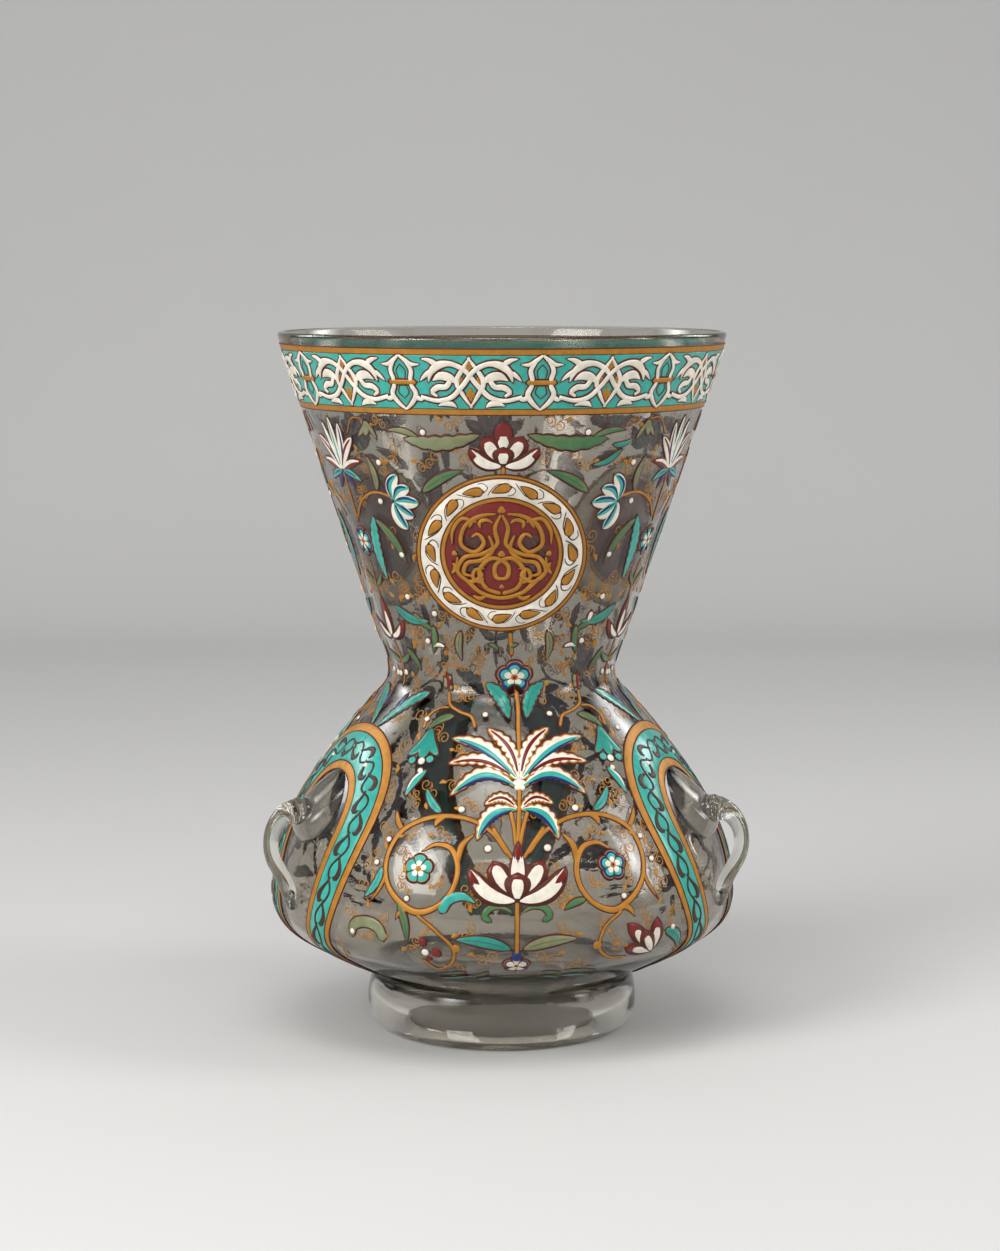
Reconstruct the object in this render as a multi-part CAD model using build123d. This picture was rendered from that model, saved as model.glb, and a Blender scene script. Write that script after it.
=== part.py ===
"""Enamelled glass mosque lamp, standing on its foot ring.

A blown vessel (round belly, narrow waist, flared neck) carries an applied foot ring, three applied
suspension handles and the fired enamel and gilding of its bands, medallions, drop panels and flowers.
The part stands on Z = 0 with its axis on Z. Its front panel faces -Y, between the two front handles,
and the third handle is at +Y. Sizes are in millimetres. Profiles are pairs (radius, height).
"""

import os
from math import acos, asin, atan2, cos, degrees, radians, sin

from build123d import *

# Vessel: one blown piece. The heights are above the table.
height = 330.0
mouth_radius = 104.9
wall = 3.4
floor_wall = 6.0
neck_foot_radius = 59.5
waist_radius = 53.6
waist_height = 171.0
waist_length = 19.0  # from the waist up to where the neck runs straight
neck_foot_height = waist_height + waist_length
shoulder_radius = 75.9
shoulder_height = 140.6
shoulder_lean = 37.5  # degrees from the vertical, where the shoulder is steepest
belly_radius = 109.9
belly_height = 66.0
underside_radius = 62.0
underside_height = 27.5
underside_lean = 62.5
bottom_radius = 38.0
bottom_height = 19.5
kick_height = 27.0

# Painted sizes are those of a neck 140 mm and a body 143.5 mm high, and keep their share of these
neck_share = (height - neck_foot_height) / 140.0
body_share = (waist_height - underside_height) / 143.5

# Foot ring: applied under the vessel, rounded, with a ground flat that it stands on
foot_radius = 64.5
foot_inner_radius = 45.5
foot_bulge_height = 11.5
foot_top_radius = 57.0
foot_bite = 3.0  # how far the ring's section reaches up into the vessel before it is trimmed to it
flat_inner_radius = 51.0
flat_outer_radius = 56.0

# Handles: a pad laid on the shoulder, drawn out into a loop whose tail is pressed on the belly
handle_azimuths = {"left": -64.5, "right": 64.5, "back": 180.0}  # degrees from the front, towards +X
pad_height = 113.5
pad_half_length = 19.0
pad_half_width = 15.5
pad_rise = 9.5
pad_tilt = 7.0  # degrees by which the pad's lower end stands further out than its upper end
loop_reach = 18.6  # from the vessel to the loop's centreline, at its outermost
loop_top_height = pad_height + 0.5
loop_middle_height = pad_height - 15.0
loop_foot_height = pad_height - 41.5
loop_root_radius = 6.6
loop_wire_radius = 2.9
tail_radius = 4.2
tail_half_length = 6.5

# Fired colours: thin layers that lie on the glass
enamel_rise = 0.6
gilding_rise = 0.4
relief_rise = 0.5  # white palmettes and gold bars, on the turquoise band
band_top_gap = 5.4  # from the mouth down to the band's upper gold line
band_line_height = 2.7
band_height = 23.7
band_repeats = 10
band_motif_height = 20.5
band_motif_width = 15.0
band_eye_share = 0.6  # size of the palmette's opening, as a share of the palmette
band_bar_length = 14.1
band_bar_height = 2.6

# Medallions: on the neck, over each body panel
medallion_turn = -2.7  # degrees from the panel's axis
medallion_height = neck_foot_height + 42.5 * neck_share
medallion_radius = 38.2 * neck_share
medallion_rim_width = 1.8
medallion_ring_width = 9.0 * neck_share
medallion_line_width = 2.2

# Flowers between the medallions. Each rosette stands on a stem of its own, over a handle.
side_stem_azimuths = {"left": -60.6, "right": 60.6, "back": 180.0}
neck_rosette_height = neck_foot_height + 45.0 * neck_share
neck_rosette_radius = 8.4 * neck_share
neck_rosette_petals = 6
neck_flower_height = neck_foot_height + 51.0 * neck_share
neck_flower_side = medallion_radius + 2.9  # from the panel's axis to the flower's middle
neck_flower_length = 27.0 * neck_share
neck_flower_width = 12.0 * neck_share

# Drop panels: a turquoise band between two gold ones, round each handle
drop_top_height = pad_height + 35.5
drop_side_height = pad_height - 7.5
drop_half_width = 41.5
drop_end_height = 33.0
drop_end_half_width = 13.0
drop_end_gap = 1.6  # between the two legs' inner edges, at the foot
drop_line_width = 3.8
drop_band_width = 12.6

# Flowers of each body panel, on one upright stem
panel_turn = 2.2  # degrees from the panel's axis
stem_width = 1.8
palmette_height = underside_height + 104.0 * body_share
palmette_leaf_angles = (-145, -102, -79, -58, -35, 35, 58, 79, 102, 145)
palmette_leaf_length = 29.0 * body_share
palmette_leaf_width = 8.6 * body_share
lotus_height = underside_height + 53.5 * body_share
lotus_petal_angles = (-58, -29, 0, 29, 58)
lotus_petal_length = 23.0 * body_share
lotus_petal_width = 10.5 * body_share
waist_rosette_height = waist_height + 3.0
low_rosette_height = underside_height + 24.5 * body_share
rosette_radius = 8.2 * body_share
rosette_petals = 5
scroll_height = underside_height + 67.5 * body_share
scroll_side = 42.5  # from the stem to the scroll's centre, on the widest panel
scroll_radius = 16.5 * body_share
scroll_width = 2.6
scroll_gap_width = 13.0 * body_share


def point(r, z):
    """A profile point in the XZ plane."""
    return Vector(r, 0, z)


def along(lean):
    """The unit direction that goes down and outwards, at an angle from the vertical."""
    return Vector(sin(radians(lean)), 0, -cos(radians(lean)))


def left_of(direction):
    """The unit normal that points to the vessel's inside, for a profile run downwards."""
    return Vector(direction.Z, 0, -direction.X).normalized()


def offset_curve(curve, start, end):
    """The four points of a Bezier curve moved to the vessel's inside, by start and end at its ends."""
    p0, p1, p2, p3 = curve
    q0 = p0 + left_of(p1 - p0) * start
    q3 = p3 + left_of(p3 - p2) * end
    share = (q3 - q0).length / (p3 - p0).length
    return [q0, q0 + (p1 - p0) * share, q3 - (p3 - p2) * share, q3]


def edges_of(curves):
    """The edges of a run of curves: a line for two points and a Bezier curve for four."""
    return [Line(*c) if len(c) == 2 else Bezier(*c) for c in curves]


# Outer profile, downwards from the lip
neck_angle = atan2(mouth_radius - neck_foot_radius, height - neck_foot_height)
lip_start = point(mouth_radius, height - wall / 2 * (1 + sin(neck_angle)))
neck_foot = point(neck_foot_radius, neck_foot_height)
down_neck = (neck_foot - lip_start).normalized()
waist = point(waist_radius, waist_height)
shoulder = point(shoulder_radius, shoulder_height)
belly = point(belly_radius, belly_height)
underside = point(underside_radius, underside_height)
bottom = point(bottom_radius, bottom_height)
kick = point(0, kick_height)
in_underside = Vector(-sin(radians(underside_lean)), 0, -cos(radians(underside_lean)))

waist_drop = neck_foot_height - waist_height
shoulder_drop = waist_height - shoulder_height
belly_drop = shoulder_height - belly_height
underside_drop = belly_height - underside_height

neck_line = [lip_start, neck_foot]
neck_turn = [
    neck_foot,
    neck_foot + down_neck * waist_drop * 0.34,
    waist + Vector(0, 0, waist_drop * 0.32),
    waist,
]
shoulder_turn = [
    waist,
    waist - Vector(0, 0, shoulder_drop * 0.27),
    shoulder - along(shoulder_lean) * shoulder_drop * 0.89,
    shoulder,
]
shoulder_bow = [
    shoulder,
    shoulder + along(shoulder_lean) * belly_drop * 0.436,
    belly + Vector(0, 0, belly_drop * 0.35),
    belly,
]
belly_turn = [
    belly,
    belly - Vector(0, 0, underside_drop * 0.442),
    underside - in_underside * underside_drop * 1.0,
    underside,
]
bottom_turn = [
    underside,
    underside + in_underside * (underside_radius - bottom_radius) * 0.45,
    bottom + Vector((underside_radius - bottom_radius) * 0.4, 0, 0),
    bottom,
]
kick_turn = [
    bottom,
    bottom - Vector(bottom_radius * 0.37, 0, 0),
    kick + Vector(bottom_radius * 0.37, 0, 0),
    kick,
]
walls = [
    (neck_turn, wall, wall),
    (shoulder_turn, wall, wall),
    (shoulder_bow, wall, wall),
    (belly_turn, wall, wall),
    (bottom_turn, wall, floor_wall),
    (kick_turn, floor_wall, floor_wall),
]
painted = [neck_turn, shoulder_turn, shoulder_bow, belly_turn]


def bezier_at(curve, t):
    """The point of a Bezier curve at t, from 0 to 1."""
    p0, p1, p2, p3 = curve
    s = 1 - t
    return p0 * s**3 + p1 * (3 * s * s * t) + p2 * (3 * s * t * t) + p3 * t**3


def skin(z):
    """The vessel's outer radius at a height, by halving along the profile's curve that holds it."""
    if z >= neck_foot_height:
        share = (z - neck_foot_height) / (lip_start.Z - neck_foot_height)
        return neck_foot_radius + share * (mouth_radius - neck_foot_radius)
    curve = next((c for c in painted if c[0].Z >= z >= c[3].Z), belly_turn)
    low, high = 0.0, 1.0
    for _ in range(40):
        middle = (low + high) / 2
        if bezier_at(curve, middle).Z > z:
            low = middle
        else:
            high = middle
    return bezier_at(curve, low).X


def turned(shape, azimuth):
    """A shape built towards +X, turned to an azimuth in degrees that is 0 at -Y and 90 at +X."""
    return Rot(0, 0, azimuth - 90) * shape


def turned_body(section_edges):
    """The solid of revolution of a closed section. Its seam lies towards -X, away from what is cut at +X."""
    return Rot(0, 0, 180) * revolve(make_face(Wire(section_edges)), Axis.Z)


def vessel_blank():
    """The vessel's outer form, filled, which trims whatever is applied to it."""
    outer = edges_of([neck_line, *[w[0] for w in walls]])
    top = point(0, lip_start.Z)
    return turned_body([*outer, Line(kick, top), Line(top, lip_start)])


def vessel():
    """The blown vessel: outer and inner profiles joined by the rounded lip."""
    inward = left_of(down_neck)
    lip_end = lip_start + inward * wall
    neck_inner = [lip_end, neck_foot + inward * wall]
    crown = (lip_start + lip_end) * 0.5 - down_neck * wall / 2
    outer = edges_of([neck_line, *[w[0] for w in walls]])
    inner = edges_of([neck_inner, *[offset_curve(*w) for w in walls]])
    floor_centre = kick + Vector(0, 0, floor_wall)
    return turned_body([ThreePointArc(lip_end, crown, lip_start), *outer, Line(kick, floor_centre), *inner])


def foot_ring(blank):
    """The applied ring: a rounded section, trimmed to the vessel that it is pressed against."""
    seat_top = underside_height + foot_bite
    rise = seat_top - foot_bulge_height
    outer = Bezier(
        (foot_top_radius, 0, seat_top),
        (foot_top_radius + (foot_radius - foot_top_radius) * 0.75, 0, seat_top - rise * 0.18),
        (foot_radius, 0, foot_bulge_height + rise * 0.42),
        (foot_radius, 0, foot_bulge_height),
    )
    lower = Bezier(
        (foot_radius, 0, foot_bulge_height),
        (foot_radius, 0, foot_bulge_height * 0.44),
        (flat_outer_radius + (foot_radius - flat_outer_radius) * 0.6, 0, 0),
        (flat_outer_radius, 0, 0),
    )
    flat = Line((flat_outer_radius, 0, 0), (flat_inner_radius, 0, 0))
    inner = Bezier(
        (flat_inner_radius, 0, 0),
        (foot_inner_radius + (flat_inner_radius - foot_inner_radius) * 0.3, 0, 0),
        (foot_inner_radius, 0, foot_bulge_height * 0.44),
        (foot_inner_radius, 0, foot_bulge_height),
    )
    back = Line((foot_inner_radius, 0, foot_bulge_height), (foot_inner_radius, 0, seat_top))
    top = Line((foot_inner_radius, 0, seat_top), (foot_top_radius, 0, seat_top))
    return turned_body([outer, lower, flat, inner, back, top]) - blank


def pad_solid():
    """The pad: half an oval turned about its long axis, sunk so that it stands out by its rise."""
    round_radius = (pad_half_width**2 + pad_rise**2) / (2 * pad_rise)
    sunk = round_radius - pad_rise
    oval_length = pad_half_length / sin(acos(sunk / round_radius))
    half = Ellipse(round_radius, oval_length) & Pos(round_radius, 0) * Rectangle(
        2 * round_radius, 2 * oval_length
    )
    pad = revolve(Plane.XZ * half, Axis.Z)
    slope = skin(pad_height - 1) - skin(pad_height + 1)
    lean = degrees(atan2(slope, 2))
    return Pos(skin(pad_height), 0, pad_height) * Rot(0, -lean - pad_tilt, 0) * Pos(-sunk, 0, 0) * pad


def loop_solid():
    """The loop: round sections along its centreline, thick where it leaves the pad."""
    top, middle, foot = loop_top_height, loop_middle_height, loop_foot_height
    root, tail = skin(top), skin(foot)
    out = skin(middle) + loop_reach
    path = Spline(
        (root - 1.0, 0, top - 1.0),
        (root + (out - root) * 0.36, 0, top + 0.5),
        (root + (out - root) * 0.80, 0, top - (top - middle) * 0.26),
        (out, 0, middle),
        (tail + (out - tail) * 0.62, 0, foot + (middle - foot) * 0.40),
        (tail - 1.0, 0, foot),
    )
    radii = [
        (0.0, loop_root_radius * 1.15),
        (0.17, loop_root_radius * 0.80),
        (0.34, loop_wire_radius * 1.15),
        (0.52, loop_wire_radius),
        (0.75, loop_wire_radius * 1.05),
        (1.0, loop_wire_radius * 1.30),
    ]
    rings = [Plane(path @ t, x_dir=(0, 1, 0), z_dir=path % t) * Circle(r) for t, r in radii]
    return loft(rings)


def tail_solid():
    """The loop's tail, pressed along the belly: an oval turned about its long axis."""
    half = Ellipse(tail_radius, tail_half_length) & Pos(tail_radius, 0) * Rectangle(
        2 * tail_radius, 2 * tail_half_length
    )
    return Pos(skin(loop_foot_height), 0, loop_foot_height - 1) * revolve(Plane.XZ * half, Axis.Z)


def handle(blank):
    """One handle, towards +X: pad, loop and pressed tail, trimmed to the vessel."""
    applied = pad_solid() + loop_solid() + tail_solid()
    return applied - blank


def coat(bottom_rise, top_rise):
    """A thin layer all over the painted part of the vessel, between two rises above the glass."""

    def lifted(rise):
        """The painted profile, moved outwards."""
        outward = left_of(down_neck) * -rise
        line = [lip_start + outward, neck_foot + outward]
        return [line, *[offset_curve(c, -rise, -rise) for c in painted]]

    below = lifted(bottom_rise)
    above = lifted(top_rise)
    ends = [Line(above[0][0], below[0][0]), Line(below[-1][-1], above[-1][-1])]
    return turned_body([*edges_of(below), *edges_of(above), *ends])


def slab(low, high):
    """All that lies between two heights."""
    return Pos(0, 0, (low + high) / 2) * Box(3 * mouth_radius, 3 * mouth_radius, high - low)


def leaf(length, width):
    """A pointed oval from the origin along +Y: two arcs."""
    return make_face(
        Wire(
            [
                ThreePointArc((0, 0), (width / 2, length / 2), (0, length)),
                ThreePointArc((0, length), (-width / 2, length / 2), (0, 0)),
            ]
        )
    )


def all_solids(shapes):
    """One compound of every solid in a list of shapes."""
    return Compound(children=[s for shape in shapes for s in shape.solids()])


def fan(angles, length, width):
    """Leaves that spring from a round heart at the origin, at angles from +Y."""
    return Sketch() + [Circle(width * 0.4), *[Rot(0, 0, angle) * leaf(length, width) for angle in angles]]


def rosette(radius, petals):
    """Round petals in a ring, with a round heart."""
    petal = Pos(0, radius * 0.55) * Circle(radius * 0.45)
    return Sketch() + [Circle(radius * 0.3), *[Rot(0, 0, i * 360 / petals) * petal for i in range(petals)]]


def scrolls(share):
    """Two scrolls beside the stem, for a panel of some share of the widest panel's width.

    Each is a ring with a gap at its upper side, towards the stem."""
    outer = scroll_radius * share
    whole = Circle(outer) - Circle(outer - scroll_width)
    gap = Circle(scroll_gap_width / 2)
    each = [
        Pos(side * scroll_side * share, scroll_height) * (whole - Pos(-side * outer * 0.8, outer * 0.6) * gap)
        for side in (-1, 1)
    ]
    return Sketch() + each


def printed(layer, flat_shape, azimuth):
    """A flat shape, with the height as its Y, pressed outwards from the axis and turned to an azimuth."""
    facing = Plane(origin=(0, 0, 0), x_dir=(0, 1, 0), z_dir=(1, 0, 0))
    stamp = extrude(facing * flat_shape, amount=1.5 * belly_radius)
    return turned(all_solids([layer & stamp]), azimuth)


def ring(layer, outer_radius, inner_radius, azimuth):
    """A ring or disc of the medallion, pressed square onto the neck."""
    face = Circle(outer_radius) if inner_radius == 0 else Circle(outer_radius) - Circle(inner_radius)
    out = Vector(cos(neck_angle), 0, -sin(neck_angle))
    centre = Vector(skin(medallion_height), 0, medallion_height)
    depth = medallion_radius * 0.62
    stamp = extrude(Plane(origin=centre - out * depth, z_dir=out) * face, amount=depth + 10)
    return turned(layer & stamp, azimuth)


def drop_outline(inset):
    """A drop panel's outline, moved in by a width: a round head that narrows to a foot cut off square."""
    top = drop_top_height - inset
    side = drop_half_width - inset
    whole_width = 2 * drop_line_width + drop_band_width
    end = drop_end_half_width - (drop_end_half_width - drop_end_gap / 2) * inset / whole_width
    middle = drop_side_height
    rise = top - middle
    fall = middle - drop_end_height
    edges = []
    for way in (1, -1):
        upper = [(0, top), (side * 0.6, top), (side, middle + rise * 0.56), (side, middle)]
        lower = [
            (side, middle),
            (side, middle - fall * 0.30),
            (end + (side - end) * 0.66, drop_end_height + fall * 0.30),
            (end, drop_end_height),
        ]
        edges += [Bezier(*[(way * x, y) for x, y in points]) for points in (upper, lower)]
    edges.append(Line((end, drop_end_height), (-end, drop_end_height)))
    return make_face(Wire(edges))


os.makedirs("parts", exist_ok=True)
blank = vessel_blank()
paint = coat(0, enamel_rise)
gilt = coat(0, gilding_rise)
relief = coat(enamel_rise, enamel_rise + relief_rise)
pieces = {"glass_body": vessel(), "foot_ring": foot_ring(blank)}

# Handles
one_handle = handle(blank)
for name, azimuth in handle_azimuths.items():
    pieces[f"handle_{name}"] = turned(one_handle, azimuth)

# Mouth band
line_top = height - band_top_gap
ground_top = line_top - band_line_height
ground_bottom = ground_top - band_height
pieces["band_gold_line_upper"] = gilt & slab(ground_top, line_top)
pieces["band_turquoise_ground"] = paint & slab(ground_bottom, ground_top)
pieces["band_gold_line_lower"] = gilt & slab(ground_bottom - band_line_height, ground_bottom)
band_middle = (ground_top + ground_bottom) / 2
motif = Pos(0, -band_motif_height / 2) * leaf(band_motif_height, band_motif_width)
eye_height = band_motif_height * band_eye_share
eye = Pos(0, -eye_height / 2) * leaf(eye_height, band_motif_width * band_eye_share)
bar = Rectangle(band_bar_length, band_bar_height)
palmettes, bars = [], []
for i in range(band_repeats):
    azimuth = i * 360 / band_repeats
    palmettes.append(printed(relief, Pos(0, band_middle) * (motif - eye - bar), azimuth))
    bars.append(printed(relief, Pos(0, band_middle) * bar, azimuth))
pieces["band_white_palmettes"] = all_solids(palmettes)
pieces["band_gold_bars"] = all_solids(bars)

# Medallions, from the rim inwards
rim_inner = medallion_radius - medallion_rim_width
ring_inner = rim_inner - medallion_ring_width
field_radius = ring_inner - medallion_line_width
# Drop panels, from the outside inwards
band_inset = drop_line_width + drop_band_width
insets = (0, drop_line_width, band_inset, band_inset + drop_line_width)
drop_faces = [drop_outline(inset) for inset in insets]
# Flowers and stems, drawn flat with the height upwards and then pressed on the glass
palmette = Pos(0, palmette_height) * fan(palmette_leaf_angles, palmette_leaf_length, palmette_leaf_width)
lotus = Pos(0, lotus_height) * fan(lotus_petal_angles, lotus_petal_length, lotus_petal_width)
high_rosette = Pos(0, waist_rosette_height) * rosette(rosette_radius, rosette_petals)
low_rosette = Pos(0, low_rosette_height) * rosette(rosette_radius, rosette_petals)
stem_length = waist_rosette_height - low_rosette_height
stem = Pos(0, low_rosette_height + stem_length / 2) * Rectangle(stem_width, stem_length)
stem = stem - palmette - lotus - high_rosette - low_rosette
neck_rosette = Pos(0, neck_rosette_height) * rosette(neck_rosette_radius, neck_rosette_petals)
neck_flower = Pos(0, neck_flower_height) * leaf(neck_flower_length, neck_flower_width)
left, right, back = (handle_azimuths[name] for name in ("left", "right", "back"))
panels = {  # the middle and the width of each, in degrees
    "front": ((left + right) / 2, right - left),
    "rear_right": ((right + back) / 2, back - right),
    "rear_left": ((left - back) / 2, left + back),
}
widest = max(width for _, width in panels.values())
neck_flower_turn = degrees(asin(neck_flower_side / skin(medallion_height)))
for name, (azimuth, width) in panels.items():
    at = azimuth + medallion_turn
    pieces[f"medallion_{name}_gold_rim"] = ring(gilt, medallion_radius, rim_inner, at)
    pieces[f"medallion_{name}_white_ring"] = ring(paint, rim_inner, ring_inner, at)
    pieces[f"medallion_{name}_gold_line"] = ring(gilt, ring_inner, field_radius, at)
    pieces[f"medallion_{name}_red_field"] = ring(paint, field_radius, 0, at)
    turns = [side * neck_flower_turn for side in (-1, 1)]
    flowers = [printed(paint, neck_flower, azimuth + turn) for turn in turns]
    pieces[f"neck_flowers_{name}"] = all_solids(flowers)
    at = azimuth + panel_turn
    pieces[f"palmette_{name}"] = printed(paint, palmette, at)
    pieces[f"lotus_{name}"] = printed(paint, lotus, at)
    pieces[f"rosette_waist_{name}"] = printed(paint, high_rosette, at)
    pieces[f"rosette_low_{name}"] = printed(paint, low_rosette, at)
    pieces[f"stem_{name}"] = printed(gilt, stem, at)
    pieces[f"scrolls_{name}"] = printed(gilt, scrolls(width / widest), at)
for name, azimuth in side_stem_azimuths.items():
    pieces[f"neck_rosette_{name}"] = printed(paint, neck_rosette, azimuth)
for name, azimuth in handle_azimuths.items():
    layers = zip(("gold_outer", "turquoise", "gold_inner"), (gilt, paint, gilt), drop_faces, drop_faces[1:])
    for layer, colour, outer_face, inner_face in layers:
        pieces[f"drop_{name}_{layer}"] = printed(colour, outer_face - inner_face, azimuth)

for name, shape in pieces.items():
    export_step(shape, f"parts/{name}.step")
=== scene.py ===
import math

import bmesh
import bpy
import numpy as np
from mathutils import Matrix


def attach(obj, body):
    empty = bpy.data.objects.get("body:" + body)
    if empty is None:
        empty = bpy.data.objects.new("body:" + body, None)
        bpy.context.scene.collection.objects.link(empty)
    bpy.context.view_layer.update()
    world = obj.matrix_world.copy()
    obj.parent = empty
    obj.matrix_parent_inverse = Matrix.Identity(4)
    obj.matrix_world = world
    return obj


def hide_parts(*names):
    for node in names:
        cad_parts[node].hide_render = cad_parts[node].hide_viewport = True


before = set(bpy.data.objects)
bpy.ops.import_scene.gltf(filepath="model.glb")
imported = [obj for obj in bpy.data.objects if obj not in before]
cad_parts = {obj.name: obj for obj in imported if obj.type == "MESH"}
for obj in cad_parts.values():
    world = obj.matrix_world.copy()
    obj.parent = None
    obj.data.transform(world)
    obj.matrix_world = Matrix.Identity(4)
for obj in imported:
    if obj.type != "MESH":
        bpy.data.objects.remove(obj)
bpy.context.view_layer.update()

# The stand: a pale floor that curves up behind the lamp, two soft lamps and an even pale world.
# The camera stands 1.37 m away, a little above the mouth, and turned 2.5 degrees from the front panel.
MM = 0.001
VIEW_TURN = 2.5
CAMERA_DISTANCE = 1370.0
CAMERA_HEIGHT = 363.0
CAMERA_TILT = 7.16
CAMERA_SIDE = -1.0
FLOOR_COLOUR = (0.56, 0.55, 0.53)


def grid_faces(rows, columns, wrap_rows=False, wrap_columns=False):
    """The four corners of each cell of a grid of points, with its last row or column joined to the first."""
    i = np.arange(rows if wrap_rows else rows - 1)[:, None]
    j = np.arange(columns if wrap_columns else columns - 1)[None, :]
    right, below = (j + 1) % columns, (i + 1) % rows
    corners = [i * columns + j, below * columns + j, below * columns + right, i * columns + right]
    return np.stack([np.broadcast_to(c, (i.size, j.size)) for c in corners], -1).reshape(-1, 4)


def mesh_object(name, points, faces, fade=None):
    """A smooth mesh object at the origin, with an optional number at each point called fade."""
    mesh = bpy.data.meshes.new(name)
    mesh.from_pydata(points.reshape(-1, 3).tolist(), [], faces.tolist())
    mesh.polygons.foreach_set("use_smooth", np.ones(len(mesh.polygons), bool))
    if fade is not None:
        mesh.attributes.new("fade", "FLOAT", "POINT").data.foreach_set("value", fade.astype(np.float32))
    thing = bpy.data.objects.new(name, mesh)
    bpy.context.scene.collection.objects.link(thing)
    return thing


class Value:
    """A shader socket that takes plus, minus, times and over, each as a Math node."""

    def __init__(self, finish, socket):
        self.finish, self.socket = finish, socket

    def math(self, operation, first, second):
        return self.finish.node("ShaderNodeMath", {"operation": operation}, {0: first, 1: second})

    def __add__(self, other):
        return self.math("ADD", self, other)

    def __sub__(self, other):
        return self.math("SUBTRACT", self, other)

    def __rsub__(self, other):
        return self.math("SUBTRACT", other, self)

    def __mul__(self, other):
        return self.math("MULTIPLY", self, other)

    __radd__ = __add__
    __rmul__ = __mul__


class Finish:
    """A material with one Principled shader, whose sockets take plain values or Values."""

    def __init__(self, name, **sockets):
        self.material = bpy.data.materials.new(name)
        self.material.use_nodes = True
        self.tree = self.material.node_tree
        self.shader = self.tree.nodes["Principled BSDF"]
        for socket, value in sockets.items():
            self.set(self.shader.inputs[socket.replace("_", " ")], value)

    def set(self, socket, value):
        if isinstance(value, Value):
            self.tree.links.new(value.socket, socket)
        elif socket.type == "RGBA" and len(value) == 3:
            socket.default_value = (*value, 1)
        else:
            socket.default_value = value

    def node(self, kind, settings=None, inputs=None, output=0):
        """A node of a kind: its settings first, then its inputs. Gives one output as a Value."""
        node = self.tree.nodes.new(kind)
        for key, value in (settings or {}).items():
            if key == "stops":
                for stop, (position, colour) in zip(node.color_ramp.elements, value):
                    stop.position, stop.color = position, (*colour, 1)
                for position, colour in value[2:]:
                    node.color_ramp.elements.new(position).color = (*colour, 1)
            else:
                setattr(node, key, value)
        for key, value in (inputs or {}).items():
            self.set(node.inputs[key], value)
        return Value(self, node.outputs[output])

    def noise(self, scale, detail=3.0, stretch=(1, 1, 1)):
        """Noise from 0 to 1 in the object's own metres, stretched along its axes."""
        place = self.node("ShaderNodeTexCoord", output=3)
        place = self.node("ShaderNodeMapping", {}, {"Vector": place, "Scale": stretch})
        return self.node("ShaderNodeTexNoise", {}, {"Vector": place, "Scale": scale, "Detail": detail})

    def mix(self, factor, first, second):
        """A colour between two."""
        inputs = {0: factor, 6: first, 7: second}
        return self.node("ShaderNodeMix", {"data_type": "RGBA"}, inputs, output=2)

    def bump(self, height, distance, strength=1.0):
        """Relief from a height, on the shader."""
        inputs = {"Height": height, "Distance": distance, "Strength": strength}
        self.set(self.shader.inputs["Normal"], self.node("ShaderNodeBump", {}, inputs))


floor_finish = Finish("floor_paper", Roughness=0.9)
tone = floor_finish.noise(3.0)
darker = tuple(c * 0.96 for c in FLOOR_COLOUR)
floor_finish.set(floor_finish.shader.inputs["Base Color"], floor_finish.mix(tone, FLOOR_COLOUR, darker))
side, depth = np.meshgrid(np.linspace(-9, 9, 3), np.concatenate([[-9], np.linspace(1.3, 3.4, 40)]))
rise = np.clip(depth - 1.4, 0, None) ** 2 * 0.9
floor = mesh_object("floor", np.stack([side, depth, rise - 0.0002], -1), grid_faces(*side.shape)[:, ::-1])
floor.data.materials.append(floor_finish.material)

turn = math.radians(-VIEW_TURN)
spot = (CAMERA_SIDE, -CAMERA_DISTANCE)
camera = bpy.data.objects.new("camera", bpy.data.cameras.new("camera"))
camera.data.lens = 36 * 2912 / 1251
camera.location = (
    (spot[0] * math.cos(turn) - spot[1] * math.sin(turn)) * MM,
    (spot[0] * math.sin(turn) + spot[1] * math.cos(turn)) * MM,
    CAMERA_HEIGHT * MM,
)
camera.rotation_euler = (math.radians(90 - CAMERA_TILT), 0, turn)
bpy.context.scene.collection.objects.link(camera)
bpy.context.scene.camera = camera


def soft_lamp(name, azimuth, height, distance, width, tall, power):
    """A rectangular lamp at an azimuth, aimed at the lamp's waist."""
    light = bpy.data.lights.new(name, "AREA")
    light.shape, light.size, light.size_y, light.energy = "RECTANGLE", width, tall, power
    thing = bpy.data.objects.new(name, light)
    angle = math.radians(azimuth)
    thing.location = (distance * math.sin(angle), -distance * math.cos(angle), height)
    thing.rotation_euler = (math.pi / 2 - math.atan2(height - 0.18, distance), 0, angle)
    thing.visible_glossy = False
    bpy.context.scene.collection.objects.link(thing)


def glow(name, azimuth, height, distance, width, tall, strength):
    """An oval that is brightest in its middle and fades to its edge, and only shows as a reflection."""
    finish = Finish(name, Base_Color=(0, 0, 0), Specular_IOR_Level=0.0, Emission_Strength=strength)
    place = finish.node("ShaderNodeTexCoord", output=3)
    fade = finish.node("ShaderNodeTexGradient", {"gradient_type": "QUADRATIC_SPHERE"}, {"Vector": place}, 1)
    finish.set(finish.shader.inputs["Emission Color"], fade)
    corners = np.array([(-1, -1, 0), (1, -1, 0), (-1, 1, 0), (1, 1, 0)], float)
    thing = mesh_object(name, corners, np.array([(0, 1, 3, 2)]))
    thing.data.materials.append(finish.material)
    angle = math.radians(azimuth)
    thing.location = (distance * math.sin(angle), -distance * math.cos(angle), height)
    thing.rotation_euler = (math.pi / 2 - math.atan2(height - 0.18, distance), 0, angle)
    thing.scale = (width / 2, tall / 2, 1)
    for ray in ("camera", "diffuse", "transmission", "shadow"):
        setattr(thing, "visible_" + ray, False)


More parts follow.
